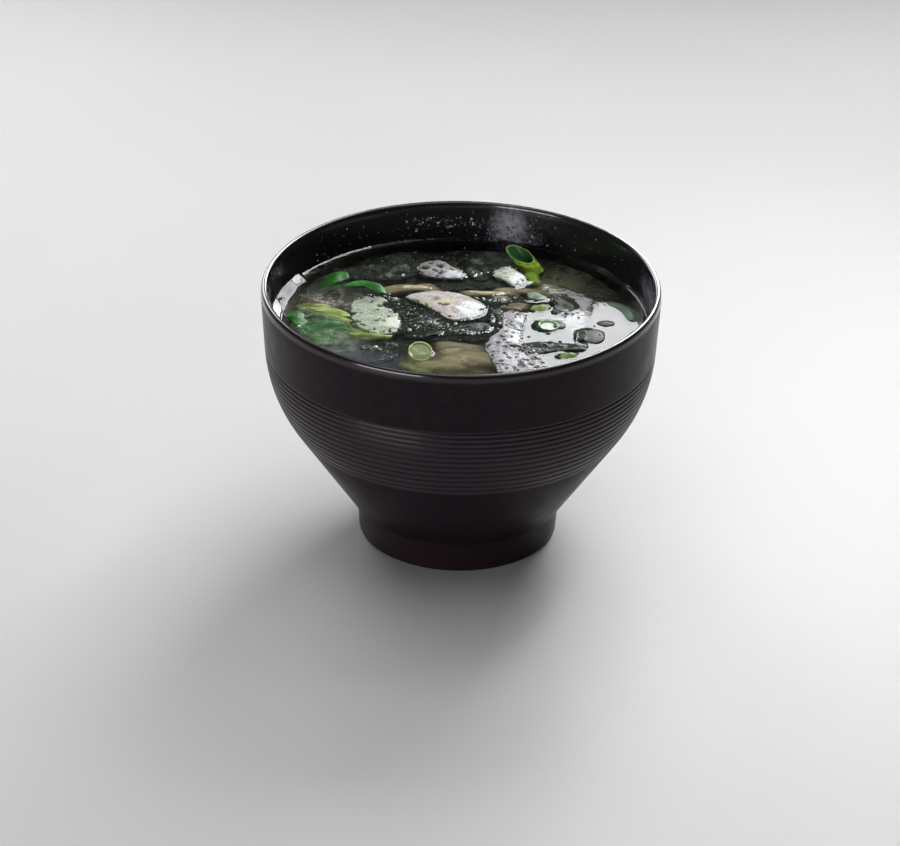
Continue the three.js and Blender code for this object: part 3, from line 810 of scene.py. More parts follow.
# %% Slices
STEM_SIDES = 44
UNDER_HOLLOW = 0.25
WEB_STEP, WEB_RIM = 0.05, 0.3
OUTSIDE = 0.98
OUTER_SKIN, CUT_WALL, HOLLOW = 0, 0.5, 1
soft_noise = pattern("soft_noise", "CLOUDS", 2.5)


def select_faces(piece, test):
    """Select, in edit mode, the faces that pass a test."""
    bpy.ops.object.mode_set(mode="OBJECT")
    for face in piece.data.polygons:
        face.select = test(face)
    bpy.ops.object.mode_set(mode="EDIT")


def hollow_stem(name, wall, depth):
    """An upright stem, one unit in radius and two high, hollowed from its top."""
    piece = started(name, bpy.ops.mesh.primitive_cylinder_add, vertices=STEM_SIDES, radius=MM,
                    depth=2 * MM)
    bpy.ops.object.mode_set(mode="EDIT")
    bpy.ops.mesh.select_mode(type="FACE")
    for end, into in ((1, depth), (-1, UNDER_HOLLOW)):
        select_faces(piece, lambda face: face.normal.z * end > 0.9)
        bpy.ops.mesh.inset(thickness=wall * MM)
        for _ in range(2):
            bpy.ops.mesh.inset(thickness=WEB_STEP * MM)
            bpy.ops.transform.translate(value=(0, 0, -end * into / 2 * MM))
        bpy.ops.mesh.inset(thickness=WEB_RIM * MM)
    bpy.ops.object.mode_set(mode="OBJECT")
    return piece


def onion_slice(node, skin, radii, length, slant, place, axis, spin, wall, hollow):
    """An oval slice cut at a slant, turned so that its hollow points along `axis`."""
    wall_share = wall / min(radii)
    piece = hollow_stem("soft_" + node, wall_share, 2 * hollow / length)

    def part(x, y, z):
        reach = math.hypot(x, y)
        inside = HOLLOW if reach < OUTSIDE - wall_share else CUT_WALL
        return inside if reach < OUTSIDE else OUTER_SKIN

    def oval(x, y, z):
        lean = np.where(z > 0, slant[1], slant[0]) * x
        return x * radii[0], y * radii[1], z * length / 2 + lean

    marked(piece, "part", part)
    shaped(piece, oval)
    modified(piece, "BEVEL", width=0.16 * MM, segments=2, limit_method="ANGLE")
    smoother(piece)
    aim = Vector((0, 0, 1)).rotation_difference(Vector(axis))
    aim = aim @ Quaternion((0, 0, 1), math.radians(spin))
    stand = Matrix.LocRotScale((Vector(place) + Vector((0, 0, LEVEL))) * MM, aim, None)
    piece.data.transform(stand)
    roughened(piece, soft_noise, 0.5)
    bpy.ops.object.shade_smooth()
    return dress(piece, *skins[skin], node)


slices = [onion_slice(node, *spec) for node, spec in SLICES.items()]
print("slices:", len(slices))

# %% [markdown]
# ## Fried tofu
#
# Thin fried tofu soaks until it is soft: a spongy, wrinkled strip with a darker skin. Its
# form is the solid's own, subdivided and roughened by two patterns, a broad one for the
# wrinkles and a fine one for the pores. It lies awash, so the broth veils it. Sunk sheets
# of it carry on under the level, laid as the leaves are.

# %% Fried tofu finish


def tofu_finish():
    """Soaked, spongy skin, blotched from straw to light brown."""
    finish = Finish("fried_tofu_skin")
    blotch = finish.noise(4.2, 4)
    pores = finish.step(finish.cells(0.75), 0.08, 0.4)
    tone = finish.blend(finish.step(blotch, 0.35, 0.65), (0.40, 0.33, 0.17), (0.72, 0.65, 0.44))
    tone = finish.blend(pores * 0.5 + 0.5, (0.24, 0.20, 0.10), tone)
    faded = finish.step(finish.above() + (blotch - 0.5) * 1.6, -0.4, -1.3)
    return finish.skin(Base_Color=drowned(finish, tone, 0.8), Roughness=0.5, IOR=1.3,
                       Alpha=1 - faded, Normal=finish.bump(pores, 0.1))


tofu_skin = tofu_finish()
print("finish:", tofu_skin.name)

# %% Fried tofu
TOFU_SINK = {"fried_tofu_front": 0.3, "fried_tofu_right": 0.3, "fried_tofu_back_left": 0.2,
             "fried_tofu_back_middle": 0.2}
SUNK_TOFU = {
    "sunk_tofu_front_left": (7, 0.6, (-15, -23.6, -1.5), (-6, -25.4, -0.9), (2, -23.8, -0.9)),
    "sunk_tofu_front_right": (7.4, 0, (-2, -19.4, -0.8), (5, -20.6, -0.8), (12, -22.6, -1.3)),
    "sunk_tofu_front_top": (5.4, 0.2, (-8, -14.6, -1), (-1, -14, -0.6), (7, -17.4, -1)),
    "sunk_tofu_back_left": (4.4, 0.4, (-26, 19, -0.9), (-15, 22.4, -0.3), (-4, 19.6, -0.7)),
    "sunk_tofu_back_middle": (3.6, 0.2, (-1, 19.6, -0.7), (8, 19.4, -0.3), (18, 20.4, -0.8)),
    "sunk_tofu_back_right": (4.2, 0.2, (9, 20.6, -1), (15, 22.4, -0.7), (23, 21.6, -1.2)),
    "sunk_tofu_right": (3.4, 0.2, (9, 12.6, -1.5), (15, 13, -1.1), (21, 12.4, -1.5)),
}
wrinkle = pattern("wrinkle", "CLOUDS", 2.6, noise_depth=3)
pore = pattern("pore", "VORONOI", 0.9)
tofu_pieces = []
for node in sorted(nodes):
    if node.startswith("fried_tofu"):
        piece = softened(node, 4, -TOFU_SINK[node], (wrinkle, 0.8), (pore, 0.2))
        tofu_pieces.append(dress(piece, tofu_skin, "fried_tofu", node))
tofu_pieces += [leaf(name, "straw_sheet", *spec) for name, spec in SUNK_TOFU.items()]
print("fried tofu:", len(tofu_pieces))

# %% [markdown]
# ## Wakame
#
# Wakame is a thin, slippery, almost black-green leaf that crumples as it soaks. The solids
# hold each patch's outline. Finer wrinkles come from noise that pushes the sheet up and
# down, so both faces move together and it stays thin. Between the floating patches more of
# it hangs just under the level: discs, laid out and frayed at their edges by waves.

# %% Wakame finish


def wakame_finish():
    """Wet, wrinkled and nearly black, greener where it is thin, with painted sheen on its folds."""
    finish = Finish("wakame_leaf")
    folds_and_sheen = finish.noise(1.1, 5, rough=0.65)
    thin = finish.step(finish.noise(5, 3), 0.42, 0.66)
    tone = finish.blend(thin, (0.014, 0.019, 0.015), (0.032, 0.052, 0.026))
    # painted highlight: the ridges of the folds are painted greyer and paler
    tone = finish.blend(finish.step(folds_and_sheen, 0.5, 0.7) * 0.7, tone, (0.12, 0.155, 0.115))
    # pale flecks on the folds: partly small bubbles, partly painted glints
    flecks_and_glints = finish.step(finish.cells(1.3), 0.16, 0.08)
    tone = finish.blend(flecks_and_glints * finish.step(folds_and_sheen, 0.45, 0.6), tone, (0.42, 0.44, 0.42))
    return finish.skin(Base_Color=drowned(finish, tone, 0.7), Roughness=0.42, IOR=1.18,
                       Coat_Weight=0.03, Coat_Roughness=0.1, Normal=finish.bump(folds_and_sheen, 0.14))


wakame_leaf = wakame_finish()
print("finish:", wakame_leaf.name)

# %% Floating wakame
CALM_WAKAME = {"wakame_right": (0.4, 0.4), "wakame_back_bubbly": (0.4, 0.4),
               "wakame_front_right": (0.9, 0.35)}
crumple = pattern("crumple", "CLOUDS", 3, noise_depth=2)
pucker = pattern("pucker", "CLOUDS", 1.1, noise_depth=1)
wakame_pieces = []
for node in sorted(nodes):
    if node.startswith("wakame"):
        depth, lift = CALM_WAKAME.get(node, (1, 0))
        piece = softened(node, 3, lift, (crumple, depth), (pucker, depth / 2), direction="Z")
        wakame_pieces.append(dress(piece, wakame_leaf, "wakame", node))
print("floating wakame:", len(wakame_pieces))

# %% Sunk wakame
SUNK_WAKAME = {
    "sunk_wakame_centre": ((-10, 2), 12, 8, 0.6),
    "sunk_wakame_left": ((-21, 11), 8, 5, 0.6),
    "sunk_wakame_right": ((9, 10), 6, 8, 0.75),
    "sunk_wakame_middle": ((2, -6), 12, 5, 0.6),
    "sunk_wakame_front": ((-19, -16), 9, 6, 1.1),
    "sunk_wakame_back": ((-4, 38.5), 19, 4.5, 2.2),
    "sunk_wakame_back_middle": ((2, 28), 10, 5, 1.2),
    "sunk_wakame_back_left": ((-26, 33), 10, 6, 1.2),
    "sunk_wakame_front_right": ((20, -17), 10, 3, 0.9),
}
DISC_SIDES, DISC_CUTS = 64, 9


def sunk_wakame(name, middle, half_length, half_width, sink):
    """A frayed sheet under the level, with a lobed outline round its middle."""
    piece = started(name, bpy.ops.mesh.primitive_circle_add, vertices=DISC_SIDES, radius=MM,
                    fill_type="TRIFAN")
    edit_all(piece)
    bpy.ops.mesh.subdivide(number_cuts=DISC_CUTS)
    bpy.ops.object.mode_set(mode="OBJECT")
    phase = middle[0]

    def lobed(x, y, z):
        way = np.arctan2(y, x)
        lobe = 1 + 0.16 * np.sin(3 * way + phase) + 0.1 * np.sin(7 * way - phase)
        lobe += 0.06 * np.sin(15 * way + 2 * phase)
        return (middle[0] + x * half_length * lobe, middle[1] + y * half_width * lobe,
                z + LEVEL - sink)

    shaped(piece, lobed)
    roughened(piece, crumple, 1.1, direction="Z")
    roughened(piece, pucker, 0.4, direction="Z")
    modified(piece, "SOLIDIFY", thickness=0.3 * MM, offset=-1)
    bpy.ops.object.shade_smooth()
    return dress(piece, wakame_leaf, "wakame")


wakame_pieces += [sunk_wakame(name, *spec) for name, spec in SUNK_WAKAME.items()]
print("wakame:", len(wakame_pieces))

# %% [markdown]
# ## Foam
#
# A raft of foam is a thin crowd of bubbles. Points are strewn over the raft, and every point
# of its skin rises as a low dome over the nearest of them, so that the bubbles meet in
# creases as real ones do. Some bubbles have burst, most of all near the raft's edge: their
# cells sink below the broth and are painted near black, the dark broth with painted shade,
# so they show as dark pits. Larger holes are listed by place. Sinking instead of cutting
# keeps the mesh closed, and the broth draws the ragged waterline.
#
# Each finish has a pale tone, a shaded one, one where broth soaks it, and patches with a place,
# a radius and a tone. The near-white patches at the front raft's right edge are painted
# reflection of the softbox, and the near-white one on the middle raft is a painted highlight.

# %% Foam finishes
FOAM_TONES = {
    "white_foam": ((0.33, 0.32, 0.335), (0.17, 0.17, 0.175), (0.20, 0.21, 0.19),
        # painted reflection: the first three patches, near white, at the front raft's right edge
        [(17.6, 1.6, 2, (0.78, 0.80, 0.82)), (17.4, -8, 3.4, (0.8, 0.82, 0.84)),
        (16, -12.4, 2.2, (0.74, 0.77, 0.74)), (15, -24, 4, (0.46, 0.45, 0.47)),
        (-3.4, 31, 2.4, (0.6, 0.61, 0.61)), (-0.4, 30.2, 1.8, (0.7, 0.72, 0.72)),
        (-10, 37.4, 3, (0.2, 0.22, 0.19))]),
    "bright_foam": ((0.60, 0.62, 0.57), (0.34, 0.38, 0.28), (0.22, 0.28, 0.15),
        [(17.4, 28, 3.4, (0.84, 0.86, 0.85)), (9.6, 33.6, 2.6, (0.34, 0.4, 0.26))]),
    "green_foam": ((0.43, 0.47, 0.38), (0.22, 0.27, 0.17), (0.20, 0.27, 0.10),
        [(-19.6, -1.6, 3.2, (0.62, 0.64, 0.56)), (-33.6, 0.6, 2.2, (0.24, 0.34, 0.11)),
        (-29.4, -7.4, 2.6, (0.28, 0.38, 0.12)), (-24.4, 4.4, 1.6, (0.16, 0.26, 0.14)),
        (-27, 13.4, 3.6, (0.18, 0.20, 0.17))]),
    "tan_foam": ((0.49, 0.455, 0.43), (0.34, 0.31, 0.29), (0.26, 0.27, 0.12),
        # painted highlight: the first patch, near white, on the middle raft
        [(3.4, 7.4, 4.6, (0.70, 0.73, 0.75)), (-4.4, 11.4, 2, (0.50, 0.47, 0.26)),
        (-10.4, 10.6, 1.8, (0.38, 0.40, 0.22)), (-7, 13.6, 1.1, (0.20, 0.13, 0.11))]),
}
DARK_PIT = (0.012, 0.015, 0.011)


def foam_finish(name, tint, shade, soak, patches):
    """Froth: pale where dry, darker where broth soaks it, with patches, some painted reflection."""
    finish = Finish(name)
    grain = finish.cells(0.6)
    cloud = finish.noise(3.2, 5, rough=0.65)
    tone = finish.blend(finish.step(cloud, 0.38, 0.64), tint, shade)
    for x, y, radius, hue in patches:
        share = finish.spot(x, y, radius, 1, (cloud - 0.5) * 7)
        tone = finish.blend(share, tone, hue)
    # painted shade: the cells' edges, which the bump makes into creases, go towards the shaded tone
    tone = finish.blend(finish.step(grain, 0.3, 0.85) * 0.35, tone, shade)
    above = finish.above()
    tone = finish.blend(finish.step(above, 0.3, -0.1) * 0.6, tone, soak)
    # the sunk skin of pits and holes is painted near black: the dark broth, and painted shade
    tone = finish.blend(finish.step(above, 0.0, -0.6), tone, DARK_PIT)
    return finish.skin(Base_Color=tone, Roughness=0.5, Normal=finish.bump(grain, -0.06, 0.5),
                       IOR=1.36, Coat_Weight=0.1, Coat_Roughness=0.15)


skins |= {name: (foam_finish(name, *tones), "foam") for name, tones in FOAM_TONES.items()}
print("foam finishes:", len(FOAM_TONES))

# %% [markdown]
# Each raft has a finish, the pitch of its bubbles, the share that has burst, the share more at
# its edge, and its holes, each with a place and a radius.

# %% Foam places
FOAM = {
    "foam_left": ("green_foam", 0.8, 0.03, 0.9, [(-20.8, 9.6, 2.2), (-17.6, 8.6, 3.2),
        (-23.4, 8, 0.9), (-22.4, -1.1, 0.55), (-31.4, 3.4, 1.1), (-27.4, -7.4, 0.9),
        (-18.6, 5.4, 1.1), (-30.6, -1.6, 0.9), (-34.4, 4.6, 1), (-33.4, -3.8, 1.3),
        (-28, -9.6, 1.2), (-23.4, -10.6, 0.9)]),
    "foam_centre": ("tan_foam", 0.8, 0, 0.4, [(-4.5, 9.7, 1), (-6.2, 10.1, 0.5), (-12.4, 9.2, 1),
        (-14.6, 11.4, 0.9), (-9.8, 7, 0.9), (-6.8, 5, 0.8), (-3, 2.6, 0.5)]),
    "foam_back": ("white_foam", 0.8, 0.05, 0.7, [(-10.6, 34.3, 1.3), (-6.2, 35.3, 1.2),
        (-5.8, 31.1, 0.9), (-8.2, 32.7, 0.5), (-13.4, 36.6, 0.9), (-3.2, 33.4, 0.6),
        (-9.2, 37.4, 0.7), (-12.6, 32.6, 0.5)]),
    "foam_back_right": ("bright_foam", 0.7, 0.03, 0.9, [(12.6, 31, 0.6), (10.6, 34, 0.4)]),
    "foam_front": ("white_foam", 0.8, 0.05, 0.9, [(11.7, 4.1, 0.5), (11.5, -2.4, 0.45),
        (15, -3.1, 0.5), (15.2, -5.4, 0.6), (15, -7.7, 0.45), (11.9, -10, 0.5), (14.4, -10.4, 0.5),
        (14, -14.1, 0.9), (15.4, -16.2, 1.2), (12.7, -16.4, 0.7), (7.9, -15.6, 0.5),
        (10.7, -14.2, 0.4), (11.5, -25.3, 0.6), (14.6, -0.6, 0.4), (17.2, -25.1, 0.4),
        (18.9, -24.6, 0.4), (13, -6.8, 0.4), (17.4, -17.4, 1), (9.4, -19.4, 0.35),
        (13.2, -21.6, 0.4)]),
}
print("foam:", ", ".join(FOAM))

# %% Bubbles in a raft
JITTER, BUBBLE_RISE = (-0.8, 0.3), (0.02, 0.16)
THIN_EDGE = 0.6
HOLE_DEPTH, HOLE_SLOPE, HOLE_RAGGED = 2.4, 0.35, 0.7


def bubble_field(piece, pitch, burst, frayed, seed):
    """Bubble centres over a raft, each with its height and whether it has burst."""
    dice = random.Random(seed)
    raft = BVHTree.FromObject(piece, bpy.context.evaluated_depsgraph_get())
    low, high = points_of(piece).min(0), points_of(piece).max(0)
    bubbles = []
    for i in range(int((high[0] - low[0]) / pitch) + 2):
        for j in range(int((high[1] - low[1]) / pitch) + 2):
            x = low[0] + (i + dice.uniform(*JITTER)) * pitch
            y = low[1] + (j + dice.uniform(*JITTER)) * pitch
            chance, rise = dice.random(), dice.uniform(*BUBBLE_RISE)
            top = raft.ray_cast(Vector((x, y, HEIGHT)) * MM, Vector((0, 0, -1)))[0]
            height = top.z / MM - LEVEL if top else 0
            edge = max(0, 1 - height / THIN_EDGE)
            bubbles.append((x, y, rise, chance < burst + frayed * edge ** 2))
    return bubbles


def hole_depth(x, y, holes):
    """How far the skin has sunk at a place, by the ragged holes round it."""
    ragged = HOLE_RAGGED * noise.noise(Vector((x, y, 0)) * 0.9)
    inside = max((radius - math.hypot(x - hx, y - hy) for hx, hy, radius in holes))
    return HOLE_DEPTH * min(1, max(0, (inside + ragged) / HOLE_SLOPE))


print("bubbles of", BUBBLE_RISE, "mm")

# %% Foam rafts
FOAM_SINK, PIT_DEPTH = 0.18, 1.5
VOXEL = 0.2
DOME_REACH = 0.7
SKIN_DEPTH = 0.2


def foam(node, skin, pitch, burst, frayed, holes, aside=None):
    """A raft of froth: the solid's own lens, covered in bubbles, or a copy that lies aside."""
    piece = copy_of(node, "edge_" + node if aside else "soft_" + node)
    if aside:
        shaped(piece, lambda x, y, z: (x + aside[0], y + aside[1], z + aside[2]))
    modified(piece, "REMESH", mode="VOXEL", voxel_size=VOXEL * MM)
    bubbles = bubble_field(piece, pitch, burst, frayed, node)
    tree = KDTree(len(bubbles))
    for index, (x, y, *_) in enumerate(bubbles):
        tree.insert((x, y, 0), index)
    tree.balance()

    def froth(x, y, z):
        lift = np.zeros(len(x))
        for i in np.nonzero(z > LEVEL - SKIN_DEPTH)[0]:
            _, index, away = tree.find((x[i], y[i], 0))
            rise, opened = bubbles[index][2:]
            dome = max(0, 1 - (away / (DOME_REACH * pitch)) ** 2)
            lift[i] = -PIT_DEPTH * dome ** 0.5 if opened else rise * dome ** 0.6
            lift[i] -= hole_depth(x[i], y[i], holes)
        return x, y, z - FOAM_SINK + lift

    shaped(piece, froth)
    bpy.ops.object.shade_smooth()
    return dress(piece, *skins[skin], *([] if aside else [node]))


foam_rafts = [foam(node, *spec) for node, spec in FOAM.items()]
print("foam rafts:", [len(raft.data.polygons) for raft in foam_rafts])

# %% [markdown]
# The raft at the back right has a soaked edge as well: a second copy of the same solid, a
# little aside and lower, so that only its outer rows of bubbles show.

# %% Soaked edge
EDGE_ASIDE = (1.5, 1.9, -0.12)
foam_rafts.append(foam("foam_back_right", "bright_foam", 0.7, 0.05, 0.9, [(15, 36, 0.6)],
                       EDGE_ASIDE))
print("soaked edge:", len(foam_rafts[-1].data.polygons), "faces")

# %% [markdown]
# ## The cloud in the broth
#
# Miso doesn't dissolve: it hangs in the broth in billows that drift and part. The billows are
# a closed, rolling surface a few millimetres under the level, dark where the broth is clear
# and olive, brown or grey where the miso is thick. A few named places have a tint of their
# own, such as the mist at the front left and the brown haze by the tofu. The near-black ones
# by the back and right wall are painted shade.

# %% Miso cloud finish
MURK_SPOTS = [
    (-42, 15, 9, (0.115, 0.10, 0.070)), (-31, 15, 8, (0.110, 0.11, 0.085)),
    (-41, -5, 13, (0.14, 0.30, 0.14)), (-34, -19, 11, (0.19, 0.22, 0.20)),
    (-22, -24, 10, (0.12, 0.13, 0.145)), (29, 30, 9, (0.150, 0.145, 0.090)),
    (37, 21, 8, (0.050, 0.055, 0.036)), (14, 23, 6, (0.22, 0.17, 0.10)),
    (23, 25, 5, (0.30, 0.34, 0.13)), (2, -22, 11, (0.30, 0.26, 0.15)),
    # painted shade: the near-black spots at (-5, 49), (22, 48), (-30, 42) and (48, 24)
    (-10, -27, 6, (0.26, 0.26, 0.12)), (-5, 49, 14, (0.002, 0.003, 0.002)),
    (22, 48, 12, (0.002, 0.003, 0.002)), (-30, 42, 9, (0.006, 0.008, 0.007)),
    (48, 24, 7, (0.010, 0.011, 0.010)),
]


def miso_finish():
    """Billows, wisps and threads, with tints of their own at named places."""
    finish = Finish("miso_cloud")
    billow = finish.noise(13, 4, rough=0.6)
    wisp = finish.noise(4, 6, rough=0.7)
    tone = finish.blend(finish.step(billow * 0.55 + wisp * 0.45, 0.42, 0.6),
                        (0.016, 0.021, 0.014), (0.062, 0.068, 0.050))
    for x, y, radius, tint in MURK_SPOTS:
        share = finish.spot(x, y, radius * 0.7, radius * 0.4 + 2, (wisp - 0.5) * 12)
        tone = finish.blend(share * 0.85, tone, tint)
    thread = finish.step(abs(finish.noise(5, 5, rough=0.65) - 0.5), 0.04, 0.0)
    grain = finish.step(finish.noise(1.2, 4), 0.4, 0.62)
    tone = finish.blend(thread * grain * 0.3, tone, (0.24, 0.24, 0.20))
    tone = finish.blend(finish.step(wisp, 0.5, 0.36) * 0.65, tone, (0.010, 0.012, 0.009))
    return finish.skin(Base_Color=tone, Roughness=0.7, Specular_IOR_Level=0.0)


miso_skin = miso_finish()
print("finish:", miso_skin.name)

# %% Miso cloud
CLOUD_R, CLOUD_DEPTH, CLOUD_RINGS = 52.6, 2.6, 64
CLOUD_FLOOR_R, CLOUD_FLOOR_DEPTH, CLOUD_FLOOR_RINGS = 50, 13, 20
CLOUD_STEPS = 200
cloud_profile = [(CLOUD_FLOOR_R * i / CLOUD_FLOOR_RINGS, LEVEL - CLOUD_FLOOR_DEPTH)
                 for i in range(CLOUD_FLOOR_RINGS + 1)]
cloud_profile += [(CLOUD_R - 0.3, LEVEL - 9), (CLOUD_R, LEVEL - 6)]
cloud_profile += [(CLOUD_R * i / CLOUD_RINGS, LEVEL - CLOUD_DEPTH)
                  for i in range(CLOUD_RINGS, -1, -1)]
miso_cloud = turned("miso_cloud", cloud_profile, CLOUD_STEPS)
billows = pattern("billows", "CLOUDS", 9, noise_depth=3)
roughened(miso_cloud, billows, 2.6, direction="Z")
dress(miso_cloud, miso_skin, "broth", "broth")
print("miso cloud:", len(miso_cloud.data.polygons), "faces")

# %% [markdown]
# ## Bubbles and crumbs
#
# Single bubbles and specks gather between the pieces. One small bubble is modelled, a dome of
# a few dozen faces, and copied along curves with seeded dice. The copies are joined into one
# piece. Crumbs are made the same way, from a dented blob.

# %% Scattering


def scattered(name, model, stands):
    """One mesh of many copies of a model, each with its foot, its turn and its size."""
    shape = [Vector(point) for point in points_of(model).tolist()]
    faces = [tuple(face.vertices) for face in model.data.polygons]
    points, all_faces = [], []
    for foot, turn, size in stands:
        start = len(points)
        points += [(foot + turn @ point * size) * MM for point in shape]
        all_faces += [tuple(start + i for i in face) for face in faces]
    mesh = bpy.data.meshes.new(name)
    mesh.from_pydata(points, [], all_faces)
    piece = bpy.data.objects.new(name, mesh)
    bpy.context.scene.collection.objects.link(piece)
    bpy.data.objects.remove(model)
    alone(piece)
    bpy.ops.object.shade_smooth()
    return piece


def afloat(x, y, z, size, turn):
    """How a copy stands on the broth, a little above or below the level."""
    return Vector((x, y, LEVEL + z)), Matrix.Rotation(turn, 3, "Z"), size


def trail(dice, course, count, spread, small, large, height=0.0):
    """Places strewn round a line of points, more small ones than large."""
    line = np.array(course, float)
    places = []
    for _ in range(count):
        share = dice.random() * (len(line) - 1)
        k = min(int(share), len(line) - 2)
        x, y = line[k] + (line[k + 1] - line[k]) * (share - k)
        size = small + (large - small) * dice.random() ** 3
        places.append((x + dice.gauss(0, spread), y + dice.gauss(0, spread), height, size,
                       dice.uniform(0, TAU)))
    return places


print("scattering helpers ready")

# %% [markdown]
# Each trail has the points of its line, a count, how far the bubbles stray, and their smallest
# and largest radius. Lone ones have a place and a radius. Crumbs are listed in the same way.

# %% Bubble places
BUBBLE_TRAILS = [
    ([(-17, 13), (-14, 8), (-12, 2), (-7, -1)], 54, 2.6, 0.12, 0.4),
    ([(-18, -6), (-14, -5), (-9, -1)], 22, 1.6, 0.14, 0.48),
    ([(-9.6, 0.2), (-6.4, -1.6)], 30, 0.6, 0.2, 0.6),
    ([(-10, -5), (0, -6.4), (6, -6)], 31, 2.2, 0.12, 0.48),
    ([(0, -6), (3, -7)], 16, 0.7, 0.25, 0.55),
    ([(9.4, 9), (10.2, 3), (9.8, -3)], 10, 1.2, 0.12, 0.36),
    ([(3.6, 15.4), (8.6, 14.8), (12, 12.6)], 27, 0.9, 0.16, 0.44),
    ([(11, 14.4), (16, 17.4)], 11, 1.2, 0.15, 0.48),
    ([(24.4, 21), (27, 16.4), (28, 9), (32, 6)], 27, 1.6, 0.14, 0.48),
    ([(17.4, -19), (22, -15), (30, -16.4), (35, -13)], 49, 1.4, 0.14, 0.4),
    ([(12, -20.4), (22, -20.6)], 18, 0.8, 0.15, 0.32),
    ([(-28, 15.4), (-21, 15.6), (-18.6, 13)], 18, 0.8, 0.15, 0.4),
    ([(-4, 35), (2, 31), (7.4, 31.4)], 20, 0.9, 0.16, 0.44),
    ([(-44, 22), (-46, 12), (-49, 3)], 11, 1, 0.12, 0.32),
    ([(-49, -4), (-44, -16), (-36, -26), (-24, -34)], 58, 1.8, 0.1, 0.32),
    ([(-42, 6), (-36, 3), (-32, -4), (-26, -9)], 26, 1.6, 0.1, 0.26),
    ([(38, 13.4), (46, 12.4), (50, 6)], 18, 0.8, 0.14, 0.36),
    ([(-30, 30), (-12, 42), (8, 44)], 22, 3.5, 0.1, 0.24),
    ([(-16, 8), (-12, 0), (-4, -4), (4, -6), (9, 2)], 90, 3.2, 0.07, 0.22),
    ([(-9, 53.2), (-3, 54)], 16, 0.12, 0.12, 0.28, 1),
    ([(13.4, 52.4), (17, 51.3)], 16, 0.12, 0.14, 0.32, 1),
    ([(33, 42.8), (38, 38.4), (42, 34)], 26, 0.12, 0.1, 0.24, 1),
    ([(-30, -36), (0, -46), (30, -36), (46, -22)], 40, 3, 0.12, 0.4),
    ([(10.4, 33), (13.4, 36), (18, 32)], 40, 0.7, 0.14, 0.34),
]
LONE_BUBBLES = [
    (-17.2, 29.2, 0.62), (-19, 13.2, 0.75), (-24, -18, 0.85), (-20.4, 5.4, 0.7), (11.4, -1.2, 0.6),
    (-46.6, 3.2, 0.6), (-46.4, -5.6, 0.7), (-14.6, -6.6, 0.7), (12.4, 13.4, 0.9), (-1.4, -2.2, 0.6),
    (35.8, -9.6, 0.55), (25, 21.8, 0.8), (30.6, 7.2, 0.7), (26.8, 15, 0.5),
]
print("trails of bubbles:", len(BUBBLE_TRAILS))

# %% Small bubbles
BROTH_R = 53
DOME_CUT, DOME_FLATNESS = -0.3, 0.55


def bubble_model():
    """A low dome, one unit in radius, closed by a flat foot."""
    piece = started("bubble_model", bpy.ops.mesh.primitive_ico_sphere_add, subdivisions=2,
                    radius=MM)
    edit_all(piece)
    bpy.ops.mesh.bisect(plane_co=(0, 0, DOME_CUT * MM), plane_no=(0, 0, 1), clear_inner=True,
                        use_fill=True)
    bpy.ops.transform.resize(value=(1, 1, DOME_FLATNESS))
    bpy.ops.object.mode_set(mode="OBJECT")
    return piece


def bubble_finish():
    """A wet white skin with a darker foot."""
    finish = Finish("small_bubbles")
    edge = finish.above() + finish.noise(0.8, 2) * 0.3
    tone = finish.blend(finish.step(edge, 0.1, 0.4), (0.12, 0.13, 0.11), (0.55, 0.57, 0.54))
    return finish.skin(Base_Color=tone, Roughness=0.18, Coat_Weight=0.5, Coat_Roughness=0.04)


dice = random.Random("bubbles")
bubble_places = [place for spec in BUBBLE_TRAILS for place in trail(dice, *spec)]
bubble_places += [(x, y, 0.1, size, 0) for x, y, size in LONE_BUBBLES]
bubble_stands = [afloat(*place) for place in bubble_places if math.hypot(*place[:2]) < BROTH_R]
bubbles = scattered("small_bubbles", bubble_model(), bubble_stands)
dress(bubbles, bubble_finish(), "foam")
print("bubbles:", len(bubble_stands), "with", len(bubbles.data.polygons), "faces")

# %% Crumb places
CRUMB_TRAILS = [
    ([(25.2, 19.6), (27.4, 16.8), (30, 17.6)], 26, 0.9, 0.3, 0.9),
    ([(26.4, 10.4), (28.6, 7.6), (32.6, 6.4)], 26, 1, 0.3, 1),
    ([(34, -5), (34.6, -9.6), (35.4, -13)], 24, 0.7, 0.3, 0.9),
    ([(16, -18), (24, -15), (33, -15)], 120, 1.3, 0.25, 0.8, 0.12),
    ([(13, 18), (16.6, 15.4)], 14, 0.8, 0.2, 0.6),
    ([(-21, 8), (-12, 3), (-6, -4), (6, -6)], 60, 2.4, 0.2, 0.7),
]
LONE_CRUMBS = [
    (25.2, -6.8, 0.75), (25.6, -11.9, 0.45), (38.5, -1.7, 0.45), (19.6, -9, 0.6),
    (28.6, -14.2, 0.8), (22.4, -17, 0.7), (12.6, 5.2, 0.35), (12.4, -2, 0.35),
]
print("trails of crumbs:", len(CRUMB_TRAILS))

# %% Crumbs
CRUMB_SHAPE = (1, 0.7, 0.35)


def crumb_model():
    """A flat, dented blob, one unit in radius."""
    piece = started("crumb_model", bpy.ops.mesh.primitive_ico_sphere_add, subdivisions=2,
                    radius=MM)
    roughened(piece, pattern("dents", "CLOUDS", 0.9), 0.9)
    edit_all(piece)
    bpy.ops.transform.resize(value=CRUMB_SHAPE)
    bpy.ops.object.mode_set(mode="OBJECT")
    return piece


def crumb_finish():
    """Scraps of wakame, black-green with a wet shine."""
    finish = Finish("wakame_crumbs")
    tone = finish.blend(finish.step(finish.noise(0.9, 3), 0.4, 0.65), (0.008, 0.010, 0.008),
                        (0.035, 0.045, 0.028))
    return finish.skin(Base_Color=tone, Roughness=0.3, Coat_Weight=0.2, Coat_Roughness=0.08,
                       IOR=1.36)


